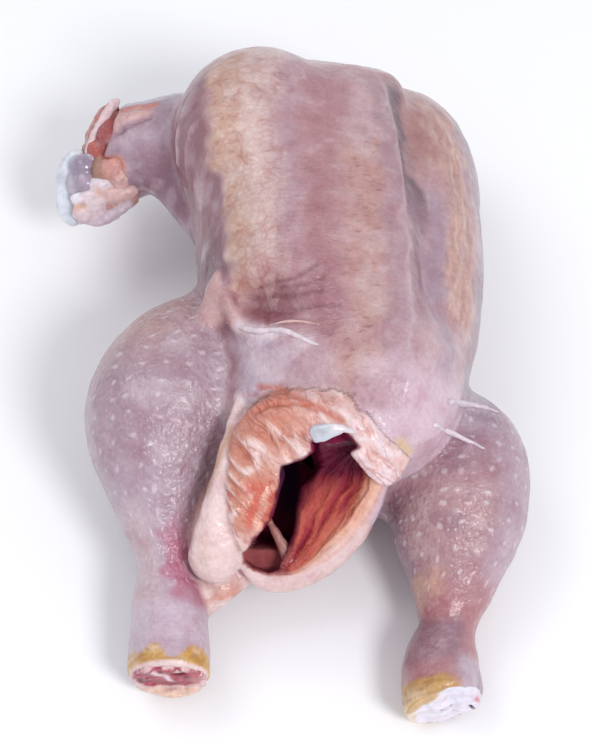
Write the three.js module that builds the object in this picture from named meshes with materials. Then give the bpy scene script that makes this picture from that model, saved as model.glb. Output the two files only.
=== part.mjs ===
// A dressed whole chicken, raw, lying on its back and rolled a little onto its left side.
// The carcass is one body of flesh and skin: torso, two drumsticks cut off at the hock, the
// upper arm of the right wing cut off at the elbow, the left wing tucked under the side, a
// short neck end, the tail, and loose skin round the open body cavity.
// The form is a distance field, a smooth union of round shapes, turned into one closed mesh.
// Millimetres, +Z up. +Y points to the neck, -Y to the tail, and the breast faces up.
import * as THREE from 'three';

const BODY_ROLL = 27;         // degrees that the breast leans towards +X
const BODY_CENTRE = [-1, 4, 43.5];
const RIB_RADII = [49, 90, 40];
const LOBE_RADII = [33, 86, 33];
const SHOULDER_RADII = [31, 35, 30];
const CALF_RADIUS = 27;       // drumstick at its thickest
const ANKLE_RADIUS = 10.3;
const HOCK_RADIUS = 14.6;
const UPPER_ARM_RADIUS = 22;
const MOUTH_TILT = 32;        // degrees that the way into the cavity leans back from facing up
const MOUTH_CENTRE = [-8, -88, 60];
const RELAX_PASSES = 1;
const RELAX_SHARE = 0.5;

// The field is measured on a grid from low to high along each axis, closer where the elbow and the
// loose skin round the mouth of the cavity lie.
const COARSE_GRID = 7.5;
const FINE_GRID = 4.6;
const SPANS = [
  { low: -122, high: 80, fine: [[-112, -82], [-48, 22]] },
  { low: -160, high: 132, fine: [[-110, -66]] },
  { low: -10, high: 110, fine: [[28, 86]] },
];

// ---- distances: each returns a function of a point, negative inside ----

const turn = (axis, degrees) =>
  new THREE.Matrix4().makeRotationAxis(new THREE.Vector3(...axis), THREE.MathUtils.degToRad(degrees));

const BODY_FRAME = turn([0, 1, 0], BODY_ROLL).setPosition(...BODY_CENTRE);
const BODY_SIDE = new THREE.Vector3(1, 0, 0).transformDirection(BODY_FRAME).toArray();

// A point given in the rolled body's own axes, in the world's.
const inBody = ([x, y, z, ...rest]) =>
  [...new THREE.Vector3(x, y, z).applyMatrix4(BODY_FRAME).toArray(), ...rest];

// Places in the mouth of the cavity are told across it, up it towards the breast, and out of it.
const MOUTH_FRAME = turn([1, 0, 0], MOUTH_TILT).setPosition(...MOUTH_CENTRE);
const MOUTH_OUT = new THREE.Vector3(0, 0, 1).transformDirection(MOUTH_FRAME).toArray();
const inMouth = ([x, y, z, ...rest]) =>
  [...new THREE.Vector3(x, y, z).applyMatrix4(MOUTH_FRAME).toArray(), ...rest];

function ellipsoid(frame, radii) {
  const inverse = frame.clone().invert();
  const q = new THREE.Vector3();
  return (p) => {
    q.set(...p).applyMatrix4(inverse);
    const near = Math.hypot(q.x / radii[0], q.y / radii[1], q.z / radii[2]);
    const slope = Math.hypot(q.x / radii[0] ** 2, q.y / radii[1] ** 2, q.z / radii[2] ** 2);
    return near * (near - 1) / (slope + 1e-9);
  };
}

// An ellipsoid placed in the body's axes, turned by `yaw` degrees about the body's own up axis.
const bodyEllipsoid = (centre, radii, yaw = 0) =>
  ellipsoid(BODY_FRAME.clone().multiply(turn([0, 0, 1], yaw).setPosition(...centre)), radii);

const worldEllipsoid = (centre, radii) =>
  ellipsoid(new THREE.Matrix4().setPosition(...centre), radii);

// A Catmull-Rom run through stations of [x, y, z, radius].
function smoothRun(stations, pieces) {
  const count = stations.length;
  const mirror = (a, b) => a.map((value, i) => 2 * value - b[i]);
  const run = [mirror(stations[0], stations[1]), ...stations,
    mirror(stations[count - 1], stations[count - 2])];
  const perSpan = Math.max(2, Math.ceil(pieces / (count - 1)));
  const points = [];
  for (let i = 1; i < count; i++) {
    for (let j = 0; j < perSpan; j++) {
      const t = j / perSpan;
      points.push(run[i].map((p1, k) => {
        const p0 = run[i - 1][k];
        const p2 = run[i + 1][k];
        const p3 = run[i + 2][k];
        return 0.5 * (2 * p1 + (p2 - p0) * t + (2 * p0 - 5 * p1 + 4 * p2 - p3) * t * t
          + (3 * p1 - p0 - 3 * p2 + p3) * t ** 3);
      }));
    }
  }
  points.push(stations[count - 1]);
  return points;
}

// A round limb along its stations. Its section is squeezed along `across` to `squeeze` of round.
function limb(stations, across = [0, 0, 1], squeeze = 1, pieces = 16) {
  const points = smoothRun(stations, pieces);
  const length = Math.hypot(...across);
  const normal = across.map((value) => value / length);
  const stretch = 1 / squeeze ** 2 - 1;
  return (p) => {
    let nearest = Infinity;
    for (let i = 0; i < points.length - 1; i++) {
      const [a, b] = [points[i], points[i + 1]];
      const step = [b[0] - a[0], b[1] - a[1], b[2] - a[2]];
      const from = [p[0] - a[0], p[1] - a[1], p[2] - a[2]];
      const dot = from[0] * step[0] + from[1] * step[1] + from[2] * step[2];
      const square = step[0] ** 2 + step[1] ** 2 + step[2] ** 2 + 1e-12;
      const t = Math.min(1, Math.max(0, dot / square));
      const off = from.map((value, k) => value - t * step[k]);
      const side = off[0] * normal[0] + off[1] * normal[1] + off[2] * normal[2];
      const distance = Math.sqrt(off[0] ** 2 + off[1] ** 2 + off[2] ** 2 + stretch * side ** 2);
      nearest = Math.min(nearest, distance - a[3] - (b[3] - a[3]) * t);
    }
    return nearest;
  };
}

// The half-space in front of a plane is positive: a cut keeps what is behind it.
function plane(point, facing) {
  const normal = new THREE.Vector3(...facing).normalize();
  const offset = normal.dot(new THREE.Vector3(...point));
  return (p) => normal.x * p[0] + normal.y * p[1] + normal.z * p[2] - offset;
}

function softMin(a, b, blend) {
  const h = Math.min(1, Math.max(0, 0.5 + 0.5 * (b - a) / blend));
  return b + (a - b) * h - blend * h * (1 - h);
}

const join = (first, second, blend) => (p) => softMin(first(p), second(p), blend);
const cut = (kept, removed, blend) => (p) => -softMin(-kept(p), removed(p), blend);
const trim = (kept, edge, blend) => (p) => -softMin(-kept(p), -edge(p), blend);

// ---- the carcass ----

function torso() {
  let form = bodyEllipsoid([0, 16, -5], RIB_RADII);
  form = join(form, bodyEllipsoid([-21, 10, 11], LOBE_RADII, 10), 14);
  form = join(form, bodyEllipsoid([21, 13, 12], LOBE_RADII, -4), 12);
  form = join(form, bodyEllipsoid([-38, 60, 8.5], SHOULDER_RADII), 13);
  form = join(form, bodyEllipsoid([26, 63, 3], SHOULDER_RADII), 14);
  const breastMiddle = [[-10, 66, 26, 15], [-9, 30, 32, 15], [-7, -10, 33, 15], [-3, -40, 31, 14]];
  form = join(form, limb(breastMiddle.map(inBody)), 10);
  const keel = [[-2, 80, 30, 10], [-1, 50, 40, 7], [0, 0, 44, 7], [2, -46, 43, 7], [3, -56, 40, 9]];
  form = join(form, limb(keel.map(inBody)), 10);
  const breastEnd = worldEllipsoid([14, -42, 62], [29.5, 33, 26]);
  return join(form, breastEnd, 10);
}

function neckEnd() {
  return limb([[-4, 69, 4, 30], [-5, 81, -1, 27.5], [-4, 95, -9, 19]].map(inBody));
}

// The right wing's upper arm stands out to the side. Its skin stops short of the elbow.
function rightUpperArm() {
  const r = UPPER_ARM_RADIUS;
  const arm = limb([[-40, 74, 54, r + 3], [-58, 75.5, 51, r], [-73, 77, 47, r - 1.5],
    [-84, 76, 43, r - 1.5], [-93, 72, 38, r - 3]], [0, 0.5, 1], 0.85);
  const skinBehind = limb([[-47, 38, 45, 9], [-59, 60, 45, 11]]);
  const skinEdge = plane([-84.6, 83, 61], [-1, 0.24, 0.15]);
  const tornSide = plane([-82.8, 60, 50], [1, 0, 0]);
  const tornTop = plane([-86, 64.2, 54.8], [0, 0.85, 0.53]);
  const torn = (p) => Math.max(tornSide(p), tornTop(p));
  return cut(trim(join(arm, skinBehind, 9), skinEdge, 2), torn, 2);
}

// The opened elbow: torn flesh, two gristle caps, a slab of membrane, torn fat and a skin rim.
function elbow() {
  let form = limb([[-87.7, 89.3, 56.4, 3.6], [-91.2, 80.9, 51.2, 6], [-93.2, 71.5, 45.3, 8], [-94, 61.8, 38.6, 7.5],
    [-87, 57, 38.5, 6.5], [-81, 58, 42, 6]]);
  form = join(form, worldEllipsoid([-89, 75.1, 54], [4.5, 6, 5]), 2);
  form = join(form, worldEllipsoid([-86.3, 63.5, 49.5], [5, 6, 6]), 2);
  form = join(form, worldEllipsoid([-98.5, 65.5, 47.5], [5.5, 5, 5.5]), 2);
  form = join(form, worldEllipsoid([-98.1, 60.5, 44.5], [5, 5, 5.5]), 2);
  form = join(form, limb([[-97, 71, 47, 4], [-102.5, 70.5, 46, 4.2], [-105.4, 67, 43.5, 4.5], [-105.8, 61, 39.4, 4.6],
    [-105.5, 54.5, 35.5, 4.6]]), 3);
  form = join(form, worldEllipsoid([-94.5, 53.5, 40], [7, 5, 5.5]), 3);
  const rim = limb([[-86.1, 88.7, 60.1, 2.8], [-89.9, 82.4, 58.6, 3], [-92.5, 78.1, 57.1, 2.8], [-95.6, 71.8, 53, 2.8]]);
  return join(form, rim, 3);
}

// The left wing lies folded under the side and props the body on its roll.
function leftUpperArm() {
  return limb([[42, 62, -12, 18], [50, 38, -22, 16], [46, 10, -28, 14]].map(inBody));
}

// A thigh and its drumstick, with the shank cut through at the hock joint.
function leg({ thigh, knee, calf, belowCalf, ankle, hock, end, facing, calfRadius }) {
  const shank = limb([
    [...knee, 0.6 * calfRadius],
    [...calf[0], 0.92 * calfRadius],
    [...calf[1], calfRadius],
    [...belowCalf, 0.68 * calfRadius],
    [...ankle, ANKLE_RADIUS],
    [...hock, 0.92 * HOCK_RADIUS],
    [...end, HOCK_RADIUS],
  ], [0, 0, 1], 1, 24);
  return join(limb(thigh), trim(shank, plane(end, facing), 2.2), 8);
}

const rightLeg = () => leg({
  thigh: [[-28, -54, 36, 22], [-45, -32, 41, 22.5], [-50, -18, 43, 17]],
  knee: [-50, -11, 44],
  calf: [[-59.5, -29, 46], [-64.5, -47, 43.5]],
  belowCalf: [-64.5, -70, 36],
  ankle: [-62, -94, 27],
  hock: [-60, -116, 21],
  end: [-59.5, -135.5, 16],
  facing: [0, -1, -0.1],
  calfRadius: CALF_RADIUS,
});

const leftLeg = () => leg({
  thigh: [[8, -56, 26, 20], [28, -52, 28, 21], [42, -52, 30, 18]],
  knee: [47.5, -45, 30],
  calf: [[46.5, -58, 29.5], [43.5, -75, 27]],
  belowCalf: [42, -95, 21.5],
  ankle: [39, -115, 17],
  hock: [36, -131, 15.2],
  end: [36.5, -145.5, 15.2],
  facing: [0.25, -1, 0.05],
  calfRadius: 0.93 * CALF_RADIUS,
});

// Rump, tail, the skin sleeve that the cavity opens through, and the web of skin to the right leg.
function rump() {
  const sleeve = trim(
    limb([[-6, -50, 46, 35], [-7, -72, 47, 33], [-9, -90, 50, 34], [-11, -104, 54, 34]], BODY_SIDE, 0.68),
    plane([-8.5, -90, 50], [0.2, -0.87, 0.45]), 5);
  let form = join(worldEllipsoid([-17, -37, 27], [40, 48, 28]), sleeve, 9);
  form = join(form, limb([[-22, -76, 22, 14], [-30, -89, 22, 9], [-37, -98, 22, 6.5]]), 5);
  const tailTip = limb([[-38, -100, 23, 5.5], [-42, -103.5, 23, 6.5], [-47, -106, 20, 6.5]]);
  form = join(form, tailTip, 2);
  const hipSkin = limb([[-44, -46, 34, 14], [-46, -70, 32, 12], [-44, -88, 32, 9]]);
  form = join(form, hipSkin, 8);
  const web = limb([[-42, -14, 46, 12], [-33, -32, 50, 14], [-25, -47, 56, 15], [-16, -60, 60, 15]]);
  return join(form, web, 9);
}

// The way into the cavity follows the outline of the loose skin round it, told in the mouth's
// across and up. Its floor is deep, except at the lower end where it is a shallow pocket.
const MOUTH_EDGE = [[9, 23], [-1.5, 20], [-1, 16.5], [-5, 13.5], [-11.5, 11], [-12, 6], [-14, -1.5],
  [-16, -8], [-22, -16], [-25, -19.5], [-25, -23], [-22, -25.5], [-16.5, -27.5], [-12, -26], [-9, -20],
  [-7, -13], [-6.5, -5], [-4.5, 3], [1, 10], [8, 15], [14, 18]];
const POCKET_DEPTH = 24;
const MOUTH_DEPTH = 42;
const POCKET_END = -20;       // how far up the mouth the pocket ends and the floor drops away
const POCKET_STEP = 5;

function mouthHole() {
  const inverse = MOUTH_FRAME.clone().invert();
  const q = new THREE.Vector3();
  const edges = MOUTH_EDGE.map((a, n) => [a, MOUTH_EDGE[(n + 1) % MOUTH_EDGE.length]]);
  return (p) => {
    q.set(...p).applyMatrix4(inverse);
    let nearest = Infinity;
    let inside = false;
    for (const [[ax, ay], [bx, by]] of edges) {
      const [dx, dy] = [bx - ax, by - ay];
      const share = THREE.MathUtils.clamp(((q.x - ax) * dx + (q.y - ay) * dy) / (dx * dx + dy * dy), 0, 1);
      nearest = Math.min(nearest, Math.hypot(q.x - ax - share * dx, q.y - ay - share * dy));
      if ((ay > q.y) !== (by > q.y) && q.x < ax + (q.y - ay) * dx / dy) inside = !inside;
    }
    const drop = THREE.MathUtils.smoothstep(q.y, POCKET_END, POCKET_END + POCKET_STEP);
    const floor = -POCKET_DEPTH - (MOUTH_DEPTH - POCKET_DEPTH) * drop;
    return Math.max(inside ? -nearest : nearest, floor - q.z);
  };
}

// The hollow of the left flap's inner face, from its rolled rim down to the way in.
const bowl = () => limb([[7, 16, 14, 12.5], [6, 4, 8, 19], [0, -10, 1, 17.5], [-6, -19, -3, 14.5],
  [-11, -24, -5, 10.5]].map(inMouth));

// Loose skin over the right of the mouth, running down beside the roll of fat.
function flap() {
  const under = limb([[6, 27, 0, 9], [-3, 27, -1, 9], [-13, 26, -3, 9.5], [-20, 19, -4, 9.5], [-23, 9, -5, 9],
    [-25, -1, -6, 9], [-27, -11, -10, 8], [-29, -17, -15, 6]].map(inMouth));
  const edge = limb([[4, 22, 6, 6], [-7, 17, 5, 7], [-14, 8, 2, 7], [-18, -2, -2, 6], [-24, -11, -7, 6]].map(inMouth),
    MOUTH_OUT, 0.5);
  return join(under, edge, 4);
}

const fatRoll = () => limb([[-35.5, -58, 66.5, 2.2], [-37, -66, 64.6, 3.4], [-38.5, -76.5, 60.6, 4.8],
  [-40.6, -86.4, 53.5, 6.5], [-42.5, -94, 45.5, 8.4], [-43.5, -98.5, 38.5, 9], [-43.5, -99.5, 35, 8]]);

// The small lobe of skin at the upper left of the mouth.
const leftLobe = () => limb([[18, 21, 3, 6], [22, 13, 0, 7], [25, 5, -4, 4.5]].map(inMouth), [0.35, -0.5, 0.8], 0.5);

// Loose skin bunched up where the right thigh leaves the side of the breast.
function tuft() {
  const peak = limb([[-44, -17, 66, 6.5], [-43.8, -10, 71.5, 4], [-43.2, -6, 75.5, 2.5]]);
  return join(peak, limb([[-43, -10, 71, 3], [-39, -16, 74.5, 3], [-36, -25, 74.5, 2.6]]), 5);
}

// The hollow that lies behind the web's taut edge, between the breast and the thigh.
const webHollow = () => limb([[-37, -16, 79, 3], [-33, -19, 82.5, 6.5], [-24, -24.5, 88, 7.5],
  [-13.5, -29.5, 91, 6], [-5, -33, 92, 4]]);

// The drawn body cavity inside the ribs, and its throat, which runs down to the mouth.
const cavity = () => join(bodyEllipsoid([-1, -12, -4], [31, 58, 26]), limb([[-17, -42, 42, 10], [-20, -76, 38, 8]]), 4);

function carcass() {
  let front = join(torso(), rightUpperArm(), 6);
  front = join(front, leftUpperArm(), 8);
  front = join(front, neckEnd(), 14);
  let rear = join(rump(), rightLeg(), 5);
  rear = join(rear, leftLeg(), 6);
  let whole = cut(join(front, rear, 7), cavity(), 4);
  whole = cut(whole, webHollow(), 5);
  whole = join(cut(whole, bowl(), 4), flap(), 3);
  whole = cut(join(whole, leftLobe(), 2), mouthHole(), 1.5);
  whole = join(join(whole, fatRoll(), 2), tuft(), 4);
  whole = join(whole, elbow(), 2);
  return (p) => Math.max(whole(p), -p[2]);   // flat where it rests on the table
}

// ---- surface nets: one vertex in each grid cell that the surface crosses ----

// Outside points that the open air doesn't reach are small closed voids, and are taken inside.
// True if any was found.
function fillVoids(values, size, at, depth) {
  const open = new Set([at(0, 0, 0)]);
  const queue = [[0, 0, 0]];
  while (queue.length > 0) {
    const point = queue.pop();
    for (let axis = 0; axis < 3; axis++) {
      for (const step of [-1, 1]) {
        const next = point.map((value, n) => value + (n === axis ? step : 0));
        if (next[axis] < 0 || next[axis] >= size[axis]) continue;
        const index = at(...next);
        if (values[index] < 0 || open.has(index)) continue;
        open.add(index);
        queue.push(next);
      }
    }
  }
  let found = false;
  values.forEach((value, index) => {
    if (value < 0 || open.has(index)) return;
    values[index] = -depth;
    found = true;
  });
  return found;
}

// Where inside points touch only across a diagonal, the mesh would pinch to an edge or a point.
// The outside point nearest the surface is taken inside there. True if any such place was found.
function closePinches(values, size, at, depth) {
  const filled = (points) => {
    const outside = points.filter((n) => values[n] >= 0);
    values[outside.reduce((best, n) => (values[n] < values[best] ? n : best))] = -depth;
    return true;
  };
  const isPinchedFace = ([a, b, c, d]) => {
    const inside = [a, b, c, d].map((n) => values[n] < 0);
    return inside[0] === inside[2] && inside[1] === inside[3] && inside[0] !== inside[1];
  };
  const isPinchedCell = (points) => {
    const inside = points.map((n) => values[n] < 0);
    const count = inside.filter(Boolean).length;
    if (count !== 2 && count !== 6) return false;
    const odd = inside.map((value, n) => (value === (count === 2) ? n : -1)).filter((n) => n >= 0);
    return odd[0] + odd[1] === 7;
  };
  let found = false;
  for (let i = 0; i < size[0] - 1; i++) {
    for (let j = 0; j < size[1] - 1; j++) {
      for (let k = 0; k < size[2] - 1; k++) {
        const cell = [0, 1, 2, 3, 4, 5, 6, 7].map((n) => at(i + (n & 1), j + ((n >> 1) & 1), k + (n >> 2)));
        const faces = [[0, 1, 3, 2], [0, 1, 5, 4], [0, 2, 6, 4]].map((face) => face.map((n) => cell[n]));
        for (const face of faces) if (isPinchedFace(face)) found = filled(face);
        if (isPinchedCell(cell)) found = filled(cell);
      }
    }
  }
  return found;
}

function gridAxis({ low, high, fine }) {
  const axis = [low];
  while (axis[axis.length - 1] < high) {
    const place = axis[axis.length - 1];
    const isFine = fine.some(([start, end]) => place >= start && place < end);
    axis.push(place + (isFine ? FINE_GRID : COARSE_GRID));
  }
  return axis;
}

function meshField(field, spans) {
  const axes = spans.map(gridAxis);
  const size = axes.map((axis) => axis.length);
  const at = (i, j, k) => (i * size[1] + j) * size[2] + k;
  const values = new Float64Array(size[0] * size[1] * size[2]);
  for (let i = 0; i < size[0]; i++) {
    for (let j = 0; j < size[1]; j++) {
      for (let k = 0; k < size[2]; k++) {
        values[at(i, j, k)] = field([axes[0][i], axes[1][j], axes[2][k]]);
      }
    }
  }
  const depth = 0.05 * FINE_GRID;
  while (closePinches(values, size, at, depth) || fillVoids(values, size, at, depth));
  const positions = [];
  const vertexOf = new Map();
  const corners = [0, 1, 2, 3, 4, 5, 6, 7].map((n) => [n & 1, (n >> 1) & 1, (n >> 2) & 1]);
  const addVertex = (cell) => {
    const sum = [0, 0, 0];
    let crossings = 0;
    for (const corner of corners) {
      for (let axis = 0; axis < 3; axis++) {
        if (corner[axis] === 1) continue;
        const other = corner.map((value, n) => (n === axis ? 1 : value));
        const a = values[at(cell[0] + corner[0], cell[1] + corner[1], cell[2] + corner[2])];
        const b = values[at(cell[0] + other[0], cell[1] + other[1], cell[2] + other[2])];
        if ((a < 0) === (b < 0)) continue;
        corner.forEach((value, n) => { sum[n] += cell[n] + value + (n === axis ? a / (a - b) : 0); });
        crossings++;
      }
    }
    vertexOf.set(at(...cell), positions.length / 3);
    positions.push(...cell.map((value, n) => {
      const share = sum[n] / crossings - value;
      return axes[n][value] + share * (axes[n][value + 1] - axes[n][value]);
    }));
  };
  const vertex = (cell) => {
    if (!vertexOf.has(at(...cell))) addVertex(cell);
    return vertexOf.get(at(...cell));
  };
  const indices = [];
  const span = (a, b) => Math.hypot(...[0, 1, 2].map((n) => positions[3 * a + n] - positions[3 * b + n]));
  const addQuad = (a, b, c, d) => {
    if (span(a, c) < span(b, d)) indices.push(a, b, c, a, c, d);
    else indices.push(a, b, d, b, c, d);
  };
  for (let i = 1; i < size[0] - 1; i++) {
    for (let j = 1; j < size[1] - 1; j++) {
      for (let k = 1; k < size[2] - 1; k++) {
        for (let axis = 0; axis < 3; axis++) {
          const next = [i, j, k].map((value, n) => value + (n === axis ? 1 : 0));
          const inside = values[at(i, j, k)] < 0;
          if (inside === values[at(...next)] < 0) continue;
          const u = (axis + 1) % 3;
          const v = (axis + 2) % 3;
          const around = [[1, 1], [0, 1], [0, 0], [1, 0]].map(([du, dv]) => {
            const cell = [i, j, k];
            cell[u] -= du;
            cell[v] -= dv;
            return vertex(cell);
          });
          addQuad(...(inside ? around : around.reverse()));
        }
      }
    }
  }
  const geometry = new THREE.BufferGeometry();
  geometry.setAttribute('position', new THREE.Float32BufferAttribute(relaxed(positions, indices), 3));
  geometry.setIndex(indices);
  return geometry;
}

// Each vertex moves part of the way to the mean of its neighbours, which evens out the grid's steps.
function relaxed(positions, indices) {
  const neighbours = Array.from({ length: positions.length / 3 }, () => new Set());
  for (let n = 0; n < indices.length; n += 3) {
    const face = indices.slice(n, n + 3);
    for (const a of face) for (const b of face) if (a !== b) neighbours[a].add(b);
  }
  let now = positions;
  for (let pass = 0; pass < RELAX_PASSES; pass++) {
    const next = now.slice();
    neighbours.forEach((ring, a) => {
      for (let n = 0; n < 3; n++) {
        let sum = 0;
        for (const b of ring) sum += now[3 * b + n];
        next[3 * a + n] += RELAX_SHARE * (sum / ring.size - now[3 * a + n]);
      }
    });
    now = next;
  }
  return now;
}

// ---- the mesh, with its origin under the middle of its box ----

const geometry = meshField(carcass(), SPANS);
geometry.computeBoundingBox();
const middle = geometry.boundingBox.getCenter(new THREE.Vector3());
geometry.translate(-middle.x, -middle.y, -geometry.boundingBox.min.z);
geometry.computeVertexNormals();

const skin = new THREE.MeshStandardMaterial({ color: 0xcfa6a2, roughness: 0.4, metalness: 0 });
const chicken = new THREE.Mesh(geometry, skin);
chicken.name = 'chicken';

const group = new THREE.Group();
group.add(chicken);

export default group;
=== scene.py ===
import functools
import itertools
import math
import bpy
import numpy as np
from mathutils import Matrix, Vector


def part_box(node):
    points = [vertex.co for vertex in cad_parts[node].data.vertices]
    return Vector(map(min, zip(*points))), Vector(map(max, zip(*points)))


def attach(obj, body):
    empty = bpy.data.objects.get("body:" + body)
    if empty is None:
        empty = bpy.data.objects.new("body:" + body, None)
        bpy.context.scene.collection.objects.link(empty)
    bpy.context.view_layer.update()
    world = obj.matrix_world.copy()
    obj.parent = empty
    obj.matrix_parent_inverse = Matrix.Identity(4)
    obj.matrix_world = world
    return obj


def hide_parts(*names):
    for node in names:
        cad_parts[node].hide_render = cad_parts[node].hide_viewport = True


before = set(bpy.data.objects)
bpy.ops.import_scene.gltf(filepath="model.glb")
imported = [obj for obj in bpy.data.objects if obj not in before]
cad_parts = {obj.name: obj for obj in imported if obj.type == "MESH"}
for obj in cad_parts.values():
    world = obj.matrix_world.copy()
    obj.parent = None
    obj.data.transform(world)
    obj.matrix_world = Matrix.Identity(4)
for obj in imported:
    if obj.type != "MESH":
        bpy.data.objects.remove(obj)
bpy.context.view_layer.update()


# ==== Carcass skin =================================================================================
# The plucked skin of the whole bird: torso, drumsticks, upper arm of the wing, neck end, rump and
# the lining of the drawn body cavity. One soft continuous body, worked out as a distance field of
# round shapes joined smoothly, in millimetres with the bird's own axes rolled to its left.

ROLL_DEGREES = 27.0
BODY_CENTRE = np.array([-1.0, 4.0, 43.5])
RIB_RADII = (49, 90, 40)
LOBE_RADII = (33, 86, 33)
SHOULDER_RADII = (31, 35, 30)
CALF_RADIUS = 27.0
ANKLE_RADIUS = 10.3
HOCK_RADIUS = 14.6
UPPER_ARM_RADIUS = 22.0
FAR = 30.0               # distances are not worked out beyond this


def turn(axis, degrees):
    """A turn about the y or z axis, as a 3 by 3 matrix."""
    angle = math.radians(degrees)
    c, s = math.cos(angle), math.sin(angle)
    rows = {"y": [[c, 0, s], [0, 1, 0], [-s, 0, c]], "z": [[c, -s, 0], [s, c, 0], [0, 0, 1]]}
    return np.array(rows[axis])


BODY = turn("y", ROLL_DEGREES)
BODY_SIDE = BODY[:, 0]


def in_body(stations):
    """Stations given in the bird's own rolled axes, in the table's axes."""
    moved = np.array(stations, float)
    moved[:, :3] = moved[:, :3] @ BODY.T + BODY_CENTRE
    return moved


def ellipsoid(centre, radii, axes=np.eye(3)):
    centre, radii = np.array(centre, float), np.array(radii, float)

    def distance(points):
        local = (points - centre) @ axes
        near = np.sqrt(((local / radii) ** 2).sum(-1))
        slope = np.sqrt(((local / radii ** 2) ** 2).sum(-1))
        return near * (near - 1) / (slope + 1e-9)
    return distance


def body_ellipsoid(centre, radii, yaw=0):
    return ellipsoid(BODY @ np.array(centre, float) + BODY_CENTRE, radii, BODY @ turn("z", yaw))


def smooth_curve(stations):
    """A Catmull-Rom curve through stations of x, y, z and radius: its cubic terms, one row per span."""
    given = np.array(stations, float)
    run = np.vstack([2 * given[0] - given[1], given, 2 * given[-1] - given[-2]])
    before, start, end, after = run[:-3], run[1:-2], run[2:-1], run[3:]
    return 0.5 * np.stack([2 * start, end - before, 2 * before - 5 * start + 4 * end - after,
                           3 * start - before - 3 * end + after], 1)


def on_curve(curve, where):
    """The curve and its slope at places counted in spans."""
    span = np.clip(where.astype(int), 0, len(curve) - 1)
    t = (where - span)[:, None]
    a, b, c, d = (curve[span, n] for n in range(4))
    return a + t * (b + t * (c + t * d)), b + t * (2 * c + 3 * t * d)


def limb(stations, across=(0, 0, 1), squeeze=1.0, pieces=16):
    """A round limb along its stations, its section squeezed along one direction."""
    curve = smooth_curve(stations)
    spans = len(curve)
    marks = np.linspace(0, spans, spans * max(2, math.ceil(pieces / spans)) + 1)
    run = on_curve(curve, marks)[0]
    normal = np.array(across, float) / np.linalg.norm(across)
    stretch = 1 / squeeze ** 2 - 1
    metric = np.eye(3) + stretch * np.outer(normal, normal)
    reach = run[:, 3].max() + FAR
    low, high = run[:, :3].min(0) - reach, run[:, :3].max(0) + reach

    def distance(points):
        listed = points.reshape(-1, 3)
        out = np.full(len(listed), FAR)
        near = np.flatnonzero(((listed > low) & (listed < high)).all(1))
        close = listed[near]
        best = np.full(len(close), FAR)
        where = np.zeros(len(close))
        for a, b, mark in zip(run[:-1], run[1:], marks):
            step = b[:3] - a[:3]
            off = close - a[:3]
            t = np.clip(off @ step / (step @ step + 1e-12), 0, 1)
            off = off - t[:, None] * step
            square = (off * off).sum(1)
            if stretch:
                square = square + stretch * (off @ normal) ** 2
            found = np.sqrt(square) - a[3] - (b[3] - a[3]) * t
            closer = found < best
            best[closer] = found[closer]
            where[closer] = mark + t[closer] * marks[1]
        for _ in range(2):
            here, slope = on_curve(curve, where)
            off = close - here[:, :3]
            along = slope[:, :3] @ metric
            length = np.sqrt(((off @ metric) * off).sum(1)) + 1e-6
            ahead = (off * along).sum(1)
            bend = (slope[:, :3] * along).sum(1) - (ahead / length) ** 2
            nudge = (ahead + slope[:, 3] * length) / (bend + 1e-3)
            where = np.clip(where + np.clip(nudge, -0.4 * marks[1], 0.4 * marks[1]), 0, spans)
        here = on_curve(curve, where)[0]
        off = close - here[:, :3]
        exact = np.sqrt(((off @ metric) * off).sum(1)) - here[:, 3]
        out[near] = np.where(best < FAR, exact, FAR)
        return out.reshape(points.shape[:-1])
    return distance


def plane(point, facing):
    """Negative behind the plane, positive in front of it."""
    normal = np.array(facing, float) / np.linalg.norm(facing)
    offset = normal @ np.array(point, float)
    return lambda points: points @ normal - offset


def soft_min(a, b, blend):
    share = np.clip(0.5 + 0.5 * (b - a) / blend, 0, 1)
    return b + (a - b) * share - blend * share * (1 - share)


def join(first, second, blend):
    return lambda points: soft_min(first(points), second(points), blend)


def cut(kept, removed, blend):
    return lambda points: -soft_min(-kept(points), removed(points), blend)


def trim(kept, edge, blend):
    return lambda points: -soft_min(-kept(points), -edge(points), blend)


def torso():
    form = body_ellipsoid((0, 16, -5), RIB_RADII)
    form = join(form, body_ellipsoid((-21, 10, 11), LOBE_RADII, 10), 14)
    form = join(form, body_ellipsoid((21, 13, 12), LOBE_RADII, -4), 12)
    form = join(form, body_ellipsoid((-38, 60, 8.5), SHOULDER_RADII), 13)
    form = join(form, body_ellipsoid((26, 63, 3), SHOULDER_RADII), 14)
    middle = in_body([(-10, 66, 26, 15), (-9, 30, 32, 15), (-7, -10, 33, 15), (-3, -40, 31, 14)])
    form = join(form, limb(middle), 10)
    keel = in_body([(-2, 80, 27, 10), (-1, 50, 39.5, 7), (0, 0, 44, 7), (2, -46, 43, 7), (3, -56, 40, 9)])
    form = join(form, limb(keel), 10)
    return join(form, ellipsoid((14, -42, 62), (29.5, 33, 26)), 10)


def neck_end():
    return limb(in_body([(-4, 69, 4, 30), (-5, 81, -1, 27.5), (-4, 95, -9, 19)]))


def right_upper_arm():
    r = UPPER_ARM_RADIUS
    arm = limb([(-40, 74, 54, r + 3), (-58, 75.5, 51, r), (-73, 77, 47, r - 1.5), (-84, 76, 43, r - 1.5),
                (-93, 72, 38, r - 3)], (0, 0.5, 1), 0.85)
    arm = join(arm, limb([(-47, 38, 45, 9), (-59, 60, 45, 11)]), 9)
    torn_side, torn_top = plane((-82.8, 60, 50), (1, 0, 0)), plane((-86, 64.2, 54.8), (0, 0.85, 0.53))
    arm = trim(arm, plane((-84.6, 83, 61), (-1, 0.24, 0.15)), 2)
    return cut(arm, lambda points: -soft_min(-torn_side(points), -torn_top(points), 4), 2.5)


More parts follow.
